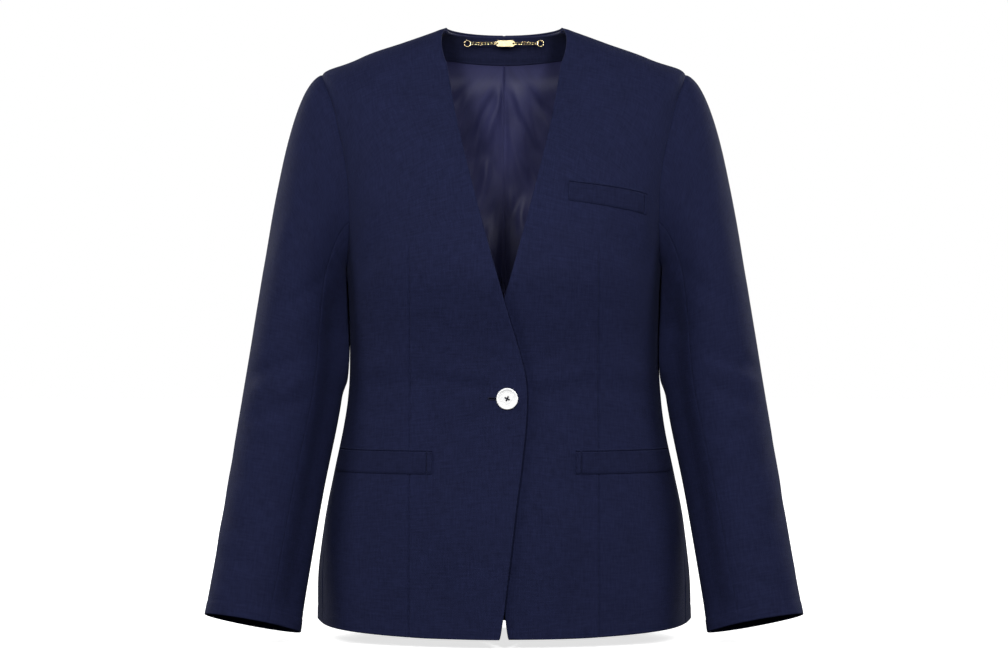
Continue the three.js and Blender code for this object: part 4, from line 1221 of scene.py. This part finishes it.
def box_mesh(size, middle):
    corners = np.array([[x, y, z] for x in (-1, 1) for y in (-1, 1) for z in (-1, 1)], float)
    faces = [[0, 1, 3, 2], [4, 6, 7, 5], [0, 4, 5, 1], [2, 3, 7, 6], [0, 2, 6, 4], [1, 5, 7, 3]]
    return corners * np.array(size) / 2 + np.array(middle), faces


def button_piece(place, material):
    """A round button with a raised rim, a dished middle and four holes."""
    radius, thick = BUTTON["radius"], BUTTON["thick"]
    profile = [(0, 0)] + [(radius - inset, height) for inset, height in BUTTON_BACK]
    profile += [(radius - inset, thick - depth) for inset, depth in BUTTON_RIM]
    profile += [(reach, thick - depth) for reach, depth in BUTTON_DISH]
    verts, faces = lathe(profile, ROUND["button"])
    piece = add_mesh("button_shell", placed(verts, place), faces, material)
    r = BUTTON["hole_radius"]
    for k in range(4):
        turn = math.radians(BUTTON["turn"] + 90 * k)
        hole = [(0, -1), (r, -1), (r, thick + 1), (0, thick + 1)]
        verts, faces = lathe(hole, ROUND["button_hole"])
        verts += [BUTTON["hole_at"] * math.cos(turn), BUTTON["hole_at"] * math.sin(turn), 0]
        cut_with(piece, placed(verts, place), faces)
    piece.data.shade_smooth()
    edges = piece.modifiers.new("edges", "EDGE_SPLIT")
    edges.split_angle = math.radians(BUTTON["edge_turn"])
    return piece


def button_thread(place, material):
    """Three strands across each pair of opposite holes, down through the button."""
    parts = []
    f = np.linspace(-1, 1, STRAND["steps"])[:, None]
    for pair in (0, 1):
        turn = math.radians(BUTTON["turn"] + 90 * pair)
        along = np.array([math.cos(turn), math.sin(turn), 0])
        aside = np.array([-math.sin(turn), math.cos(turn), 0])
        top = BUTTON["thick"] - STRAND["below"] + STRAND["over"] * pair
        height = top - STRAND["drop"] * np.abs(f) ** STRAND["power"]
        reach = BUTTON["hole_at"] + STRAND["beyond"]
        for offset in STRAND["offsets"]:
            path = along * f * reach + aside * offset + [0, 0, 1] * height
            verts, faces = tube_mesh(path, STRAND["radius"], ROUND["strand"], aside)
            parts.append((placed(verts, place), faces))
    return add_mesh("button_thread", *join(parts), material)


def buttonhole_stitches(place, material):
    """Purl stitches round the worked buttonhole."""
    left, right = BUTTONHOLE["beyond"] - BUTTONHOLE["length"], BUTTONHOLE["beyond"]
    half = BUTTONHOLE["width"] / 2
    roots = []
    for x in np.arange(left, right, PURL["pitch"]):
        roots += [(x, half, 0, 1), (x, -half, 0, -1)]
    for k in range(PURL["round_end"]):
        t = math.pi / 2 + math.pi * (k + 1) / (PURL["round_end"] + 1)
        roots.append((left + half * math.cos(t), half * math.sin(t), math.cos(t), math.sin(t)))
    parts = []
    f = np.linspace(0, 1, PURL["steps"])[:, None]
    near, far = PURL["near"], PURL["far"]
    for x, y, dx, dy in roots:
        start = np.array([x + near * dx, y + near * dy, 0])
        end = np.array([x + far * dx, y + far * dy, 0])
        rise = PURL["rise"] * np.sin(np.pi * f) ** PURL["power"] - PURL["sunk"]
        hint = np.array([-dy, dx, 0.0])
        path = lerp(start, end, f) + [0, 0, 1] * rise
        verts, faces = tube_mesh(path, PURL["radius"], ROUND["stitch"], hint)
        parts.append((placed(verts, place), faces))
    return add_mesh("buttonhole_thread", *join(parts), material)


# The hanging chain
def box_of(node):
    """A solid's middle and size, in millimetres."""
    low, high = (np.array(corner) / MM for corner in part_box(node))
    return (low + high) / 2, high - low


def open_ring(name, node, gap_side, material):
    middle, size = box_of(node)
    wire = size[1] / 2
    gap = math.radians(RING_GAP)
    start = 0 if gap_side > 0 else math.pi
    t = np.linspace(start + gap, start + 2 * math.pi - gap, ROUND["ring"])
    path = middle + (size[0] / 2 - wire) * np.stack([np.cos(t), 0 * t, np.sin(t)], 1)
    return add_mesh(name, *tube_mesh(path, wire, ROUND["ring_wire"], ACROSS_CHAIN), material)


def curb_links(name, nodes, material):
    """Twisted oval links, each through the next."""
    parts = []
    t = np.linspace(0, 2 * math.pi, ROUND["link"], endpoint=False)
    z = LINK["up"] * np.sin(t)
    twist = LINK["twist"] * np.sin(2 * t)
    for node in nodes:
        middle, size = box_of(node)
        x = (size[0] / 2 - LINK["short"]) * np.cos(t) + LINK["lean"] * z
        path = np.stack([x, twist, z], 1) + middle
        parts.append(tube_mesh(path, LINK["wire"], ROUND["link_wire"], ACROSS_CHAIN, closed=True))
    return add_mesh(name, *join(parts), material)


def plate_piece(material):
    """A flat bar with cut corners and a round hole at each end."""
    middle, size = box_of("plate")
    bevel, up, hole = PLATE["bevel"], PLATE["corner_up"], PLATE["hole"]
    hx, hz = size[0] / 2 - bevel, size[2] / 2 - bevel
    cut = hx - PLATE["corner_in"]
    loops = [[
        (-hx, -up), (-cut, -hz), (cut, -hz), (hx, -up), (hx, up), (cut, hz), (-cut, hz), (-hx, up),
    ]]
    turns = np.linspace(0, -2 * math.pi, ROUND["plate_hole"], endpoint=False)
    for side in (-1, 1):
        x = side * (hx - PLATE["hole_in"])
        loops.append([(x + hole * math.cos(t), hole * math.sin(t)) for t in turns])
    curve = bpy.data.curves.new("plate_outline", "CURVE")
    curve.dimensions = "2D"
    curve.fill_mode = "BOTH"
    for loop in loops:
        spline = curve.splines.new("POLY")
        spline.points.add(len(loop) - 1)
        for point, (x, z) in zip(spline.points, loop):
            point.co = (x * MM, z * MM, 0, 1)
        spline.use_cyclic_u = True
    curve.extrude = (size[1] / 2 - bevel) * MM
    curve.bevel_depth = bevel * MM
    curve.bevel_resolution = 2
    holder = add_object("plate_holder", curve)
    bpy.context.view_layer.update()
    shape = holder.evaluated_get(bpy.context.evaluated_depsgraph_get())
    mesh = bpy.data.meshes.new_from_object(shape)
    mesh.transform(Matrix.Translation(Vector(middle * MM)) @ Matrix.Rotation(math.pi / 2, 4, "X"))
    mesh.materials.clear()
    mesh.materials.append(material)
    bpy.data.objects.remove(holder)
    return add_object("chain_plate", mesh)


# Materials
class Nodes:
    """The shader nodes of a material or of the world."""

    def __init__(self, owner):
        owner.use_nodes = True
        self.owner = owner
        self.tree = owner.node_tree

    def feed(self, node, inputs):
        """Sets inputs to values, or links them to other nodes' outputs."""
        for key, value in inputs.items():
            if isinstance(value, bpy.types.NodeSocket):
                self.tree.links.new(value, node.inputs[key])
            else:
                node.inputs[key].default_value = value

    def add(self, kind, inputs):
        node = self.tree.nodes.new(kind)
        self.feed(node, inputs)
        return node

    def weave(self):
        node = self.add("ShaderNodeAttribute", {})
        node.attribute_name = "weave"
        return node.outputs["Vector"]

    def place(self):
        return self.add("ShaderNodeTexCoord", {}).outputs["Object"]

    def math(self, operation, *values):
        node = self.add("ShaderNodeMath", dict(enumerate(values)))
        node.operation = operation
        return node.outputs[0]

    def noise(self, vector, scale, detail=3.0):
        """A noise with so many cycles a metre along each axis."""
        scaled = self.add("ShaderNodeMapping", {"Vector": vector, "Scale": scale})
        inputs = {"Vector": scaled.outputs["Vector"], "Scale": 1.0, "Detail": detail}
        return self.add("ShaderNodeTexNoise", inputs).outputs["Fac"]

    def threads(self, vector, axis, pitch):
        """A sine across threads so many metres apart, from -0.5 to 0.5."""
        scale = 2 * math.pi / (BAND_TURNS * pitch)
        wave = self.add("ShaderNodeTexWave", {"Vector": vector, "Scale": scale})
        wave.wave_type = "BANDS"
        wave.bands_direction = axis
        return self.math("SUBTRACT", wave.outputs["Fac"], 0.5)

    def ramp(self, factor, *stops):
        ramp = self.add("ShaderNodeValToRGB", {"Fac": factor})
        elements = ramp.color_ramp.elements
        while len(elements) < len(stops):
            elements.new(0.5)
        for element, (position, colour) in zip(elements, stops):
            element.position = position
            element.color = (*colour, 1)
        return ramp.outputs["Color"]

    def bump(self, height, strength, distance, **after):
        inputs = {"Height": height, "Strength": strength, "Distance": distance, **after}
        return self.add("ShaderNodeBump", inputs).outputs["Normal"]

    def finish(self, **inputs):
        """The material, with its surface's inputs set."""
        shader = self.tree.nodes["Principled BSDF"]
        self.feed(shader, {SURFACE[word]: value for word, value in inputs.items()})
        return self.owner


BAND_TURNS = 20  # a band pattern's own turns for each unit of its scale
SURFACE = {
    "colour": "Base Color", "roughness": "Roughness", "normal": "Normal", "metal": "Metallic",
    "specular": "Specular IOR Level", "coat": "Coat Weight", "coat_roughness": "Coat Roughness",
    "sheen": "Sheen Weight", "sheen_roughness": "Sheen Roughness", "sheen_tint": "Sheen Tint",
    "glow": "Emission Strength", "glow_colour": "Emission Color",
}


# The dark and the light shade of each cloth and thread
SHADES = {
    "cloth_linen": ((0.0065, 0.0083, 0.0280), (0.0133, 0.0166, 0.0515)),
    "welt_linen": ((0.0058, 0.0074, 0.0252), (0.0120, 0.0150, 0.0465)),
    # The facing's linen is the shell's linen painted lighter: painted light, standing in for the
    # light that reaches the facing.
    "facing_linen_painted_lighter": ((0.0112, 0.0134, 0.037), (0.0190, 0.0223, 0.061)),
    "lining_satin": ((0.0222, 0.0232, 0.071), (0.0370, 0.0385, 0.115)),
    "thread_navy": ((0.004, 0.0046, 0.014), (0.009, 0.0105, 0.031)),
    "thread_dark": ((0.006, 0.006, 0.014), (0.02, 0.02, 0.038)),
}


def look(name):
    return Nodes(bpy.data.materials.new(name))


def linen(name):
    """A matt plain weave with uneven threads."""
    nodes = look(name)
    place = nodes.weave()
    warp, weft = nodes.threads(place, "X", 0.0009), nodes.threads(place, "Y", 0.0010)
    plain = nodes.math("MULTIPLY", warp, weft)
    slubs, bars = (
        nodes.math("ADD", nodes.noise(place, up, 2.0), nodes.noise(place, across, 2.0))
        for up, across in (((1100, 45, 1), (40, 1000, 1)), ((480, 80, 1), (75, 440, 1)))
    )
    cloudy = nodes.noise(place, (28, 28, 1), 4.0)
    faint = nodes.math("MULTIPLY_ADD", slubs, 0.22, -0.22)
    fainter = nodes.math("MULTIPLY_ADD", bars, 0.44, 0.06)
    tone = nodes.math("MULTIPLY_ADD", cloudy, 0.22, nodes.math("ADD", faint, fainter))
    return nodes.finish(
        colour=nodes.ramp(tone, *zip((0.38, 0.84), SHADES[name])),
        roughness=nodes.math("MULTIPLY_ADD", cloudy, 0.16, 0.74),
        normal=nodes.bump(slubs, 0.35, 0.0004, Normal=nodes.bump(plain, 0.55, 0.0005)),
        specular=0.07,
        sheen=0.028,
        sheen_roughness=0.45,
        sheen_tint=(0.45, 0.5, 0.85, 1),
    )


def satin(name):
    """Fine smooth threads with a soft shine."""
    nodes = look(name)
    place = nodes.weave()
    threads = nodes.noise(place, (2600, 130, 1), 2.0)
    cloudy = nodes.noise(place, (40, 40, 1))
    tone = nodes.math("MULTIPLY_ADD", threads, 0.45, nodes.math("MULTIPLY", cloudy, 0.55))
    return nodes.finish(
        colour=nodes.ramp(tone, *zip((0.3, 0.7), SHADES[name])),
        roughness=nodes.math("MULTIPLY_ADD", cloudy, 0.14, 0.44),
        normal=nodes.bump(threads, 0.25, 0.0002),
        specular=0.25,
        sheen=0.12,
        sheen_roughness=0.3,
    )


def pearl():
    """A clouded, softly shining white."""
    nodes = look("button_pearl")
    place = nodes.place()
    cloudy = nodes.noise(place, (260, 260, 620), 4.0)
    shades = (0.3, (0.88, 0.88, 0.88)), (0.55, (0.93, 0.93, 0.935)), (0.75, (0.95, 0.955, 0.97))
    return nodes.finish(
        colour=nodes.ramp(cloudy, *shades),
        roughness=nodes.math("MULTIPLY_ADD", cloudy, 0.16, 0.16),
        normal=nodes.bump(nodes.noise(place, (900, 900, 900)), 0.12, 0.0001),
        coat=0.35,
        coat_roughness=0.12,
    )


def thread(name):
    """Matt twisted thread."""
    nodes = look(name)
    twist = nodes.noise(nodes.place(), (2800, 2800, 2800), 2.0)
    return nodes.finish(
        colour=nodes.ramp(twist, *zip((0.3, 0.7), SHADES[name])),
        normal=nodes.bump(twist, 0.5, 0.0002),
        roughness=0.72,
        specular=0.15,
        sheen=0.04,
    )


def gold():
    """Polished pale gold with faint scratches."""
    nodes = look("chain_gold")
    place = nodes.place()
    wear = nodes.noise(place, (420, 420, 420), 4.0)
    scratch = nodes.noise(place, (5200, 900, 700), 2.0)
    return nodes.finish(
        colour=nodes.ramp(wear, (0.3, (0.88, 0.72, 0.40)), (0.7, (0.92, 0.78, 0.47))),
        roughness=nodes.math("MULTIPLY_ADD", wear, 0.07, 0.185),
        normal=nodes.bump(scratch, 0.1, 0.00008),
        metal=1.0,
    )


def floor_paper():
    """White paper with a painted glow, from 0.74 near the garment up to full white far out, that
    stands in for lamp light so the floor fades into the white round it.
    """
    nodes = look("floor_paper")
    place = nodes.place()
    grain = nodes.noise(place, (30, 30, 30))
    away = nodes.add("ShaderNodeVectorMath", {0: place})
    away.operation = "LENGTH"
    # Painted glow: brighter farther from the middle, standing in for the lamp light that falls off
    # there.
    reach = nodes.add("ShaderNodeMapRange", {
        "Value": away.outputs["Value"],
        "From Min": 0.9, "From Max": 3.0, "To Min": 0.74, "To Max": 1.0,
    })
    reach.interpolation_type = "SMOOTHSTEP"
    return nodes.finish(
        colour=nodes.ramp(grain, (0.3, (0.92, 0.92, 0.92)), (0.7, (0.95, 0.95, 0.95))),
        roughness=0.9,
        specular=0.1,
        glow_colour=(1, 1, 1, 1),
        glow=reach.outputs["Result"],
    )


# Studio
CAMERA_FAR = 3200
CAMERA_Z = -339.4
FOCAL_PIXELS = 2909
IMAGE_WIDTH = 1008
SENSOR = 36
FLOOR_Z = -671
FLOOR_REACH = 12
# Where each light is, the height that it aims at on the garment's axis, its size and its power
LIGHTS = {
    "front_left": ((-0.53, -2.1, 0.4), -0.32, (0.24, 0.7), 23.2),
    "front_right": ((0.53, -2.1, 0.4), -0.32, (0.24, 0.7), 22.2),
    "high": ((0, -1.7, 2.2), -0.1, (1.6, 0.6), 12),
    "side_left": ((-2.7, -0.7, 0.5), -0.25, (1.0, 1.4), 31),
    "side_right": ((2.7, -0.7, 0.5), -0.25, (1.0, 1.4), 29),
    "back_left": ((-2.0, 1.9, 0.6), -0.3, (1.0, 1.2), 44),
    "back_right": ((2.0, 1.9, 0.6), -0.3, (1.0, 1.2), 44),
}
WORLD_LIGHT = 0.05


def add_camera():
    data = bpy.data.cameras.new("photo_camera")
    data.sensor_fit = "HORIZONTAL"
    data.sensor_width = SENSOR
    data.lens = FOCAL_PIXELS / IMAGE_WIDTH * SENSOR
    data.clip_start = 0.1
    data.clip_end = 60
    camera = add_object("photo_camera", data)
    camera.location = (0, -CAMERA_FAR * MM, CAMERA_Z * MM)
    camera.rotation_euler = (math.pi / 2, 0, 0)
    bpy.context.scene.camera = camera


def add_light(name, place, aim_z, size, power):
    data = bpy.data.lights.new(name, "AREA")
    data.shape = "RECTANGLE"
    data.size, data.size_y = size
    data.energy = power
    light = add_object(name, data)
    light.location = place
    aim = Vector((0, 0, aim_z)) - Vector(place)
    light.rotation_euler = aim.to_track_quat("-Z", "Y").to_euler()


def add_world():
    """White to the camera, and a faint light on the garment."""
    world = bpy.data.worlds.new("studio")
    bpy.context.scene.world = world
    nodes = Nodes(world)
    shown = nodes.tree.nodes["Background"]
    nodes.feed(shown, {"Color": (1, 1, 1, 1), "Strength": 1.0})
    lighting = nodes.add("ShaderNodeBackground", {"Color": (1, 1, 1, 1), "Strength": WORLD_LIGHT})
    mix = nodes.add("ShaderNodeMixShader", {
        "Fac": nodes.add("ShaderNodeLightPath", {}).outputs["Is Camera Ray"],
        1: lighting.outputs["Background"],
        2: shown.outputs["Background"],
    })
    nodes.feed(nodes.tree.nodes["World Output"], {"Surface": mix.outputs["Shader"]})


def add_floor():
    mesh = bpy.data.meshes.new("floor")
    corners = [(-1, -1), (1, -1), (1, 1), (-1, 1)]
    level = [(x * FLOOR_REACH, y * FLOOR_REACH, FLOOR_Z * MM) for x, y in corners]
    mesh.from_pydata(level, [], [(0, 1, 2, 3)])
    mesh.materials.append(floor_paper())
    floor = add_object("floor", mesh)
    floor.visible_diffuse = False
    floor.visible_glossy = False


def add_studio():
    bpy.context.scene.view_settings.view_transform = "Standard"
    add_world()
    for name, light in LIGHTS.items():
        add_light(name, *light)
    add_floor()


def sew(piece, slot, *nodes):
    """Says which body a piece moves with, and hides the solids that it stands for. slot, its
    finish, is not used.
    """
    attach(piece, "root")
    if nodes:
        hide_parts(*nodes)
    return piece


def build_side(word, side, cloth, trim, lining, metal, thread_look):
    """The pieces of one side. Its front and back are what it returns."""
    front = sew(front_piece(f"cloth_front_{word}", -side, cloth), "cloth", f"front_{word}")
    back = sew(back_piece(f"cloth_back_{word}", side, cloth), "cloth", f"back_{word}")
    half = lining_piece(f"satin_lining_{word}", side, lining)
    sew(half, "lining", f"lining_{word}")

    seam = SLEEVE_SEAM["armhole"]
    name = f"sleeve_{word}_"
    upper = sleeve_piece(f"cloth_{name}upper", side, -seam, seam, UPPER_COLUMNS, cloth)
    under = sleeve_piece(f"cloth_{name}under", side, seam, 360 - seam, UNDER_COLUMNS, cloth)
    sew(upper, "cloth", f"{name}upper")
    sew(under, "cloth", f"{name}under")

    hip = hip_corners()
    welt = welt_piece(f"cloth_hip_welt_{word}", hip, -side, trim, 0)
    sew(welt, "cloth", f"hip_welt_{word}")
    sew(welt_stitches(f"hip_stitches_{word}", hip, -side, 0, thread_look), "cloth")
    sew(open_ring(f"chain_ring_{word}", f"ring_{word}", side, metal), "chain", f"ring_{word}")
    nodes = [f"link_{word}_{k}" for k in range(1, LINKS + 1)]
    sew(curb_links(f"chain_links_{word}", nodes, metal), "chain", *nodes)
    return front, back


def fasten(front, pearly, hole_thread, strands):
    """The buttonhole in the upper front, and the button on it."""
    place = front_frame(BUTTON["x"], BUTTON["z"], 0)
    size = (BUTTONHOLE["length"], BUTTONHOLE["width"], BUTTONHOLE["through"])
    middle = (BUTTONHOLE["beyond"] - BUTTONHOLE["length"] / 2, 0, 0)
    verts, faces = box_mesh(size, middle)
    cut_with(front, placed(verts, place), faces)
    sew(buttonhole_stitches(place, hole_thread), "cloth")
    place = front_frame(BUTTON["x"], BUTTON["z"], BUTTON["stand"])
    sew(button_piece(place, pearly), "button", "button")
    sew(button_thread(place, strands), "cloth")


def build():
    # The facing's linen is a painted-lighter copy of the cloth's linen, which gives the facing
    # painted light.
    cloth, trim, inside = linen("cloth_linen"), linen("welt_linen"), linen("facing_linen_painted_lighter")
    lining, pearly, metal = satin("lining_satin"), pearl(), gold()
    navy_thread, dark_thread = thread("thread_navy"), thread("thread_dark")
    for word, side in (("left", 1), ("right", -1)):
        front, back = build_side(word, side, cloth, trim, lining, metal, navy_thread)
    sew(plate_piece(metal), "chain", "plate")
    facing = sew(facing_piece(inside), "facing", "neck_facing")
    breast = breast_corners()
    welt = sew(welt_piece("cloth_breast_welt", breast, -1, trim, 1), "cloth", "breast_welt")
    sew(welt_stitches("breast_stitches", breast, -1, 1, navy_thread), "cloth")
    fasten(front, pearly, navy_thread, dark_thread)


add_camera()
add_studio()
build()
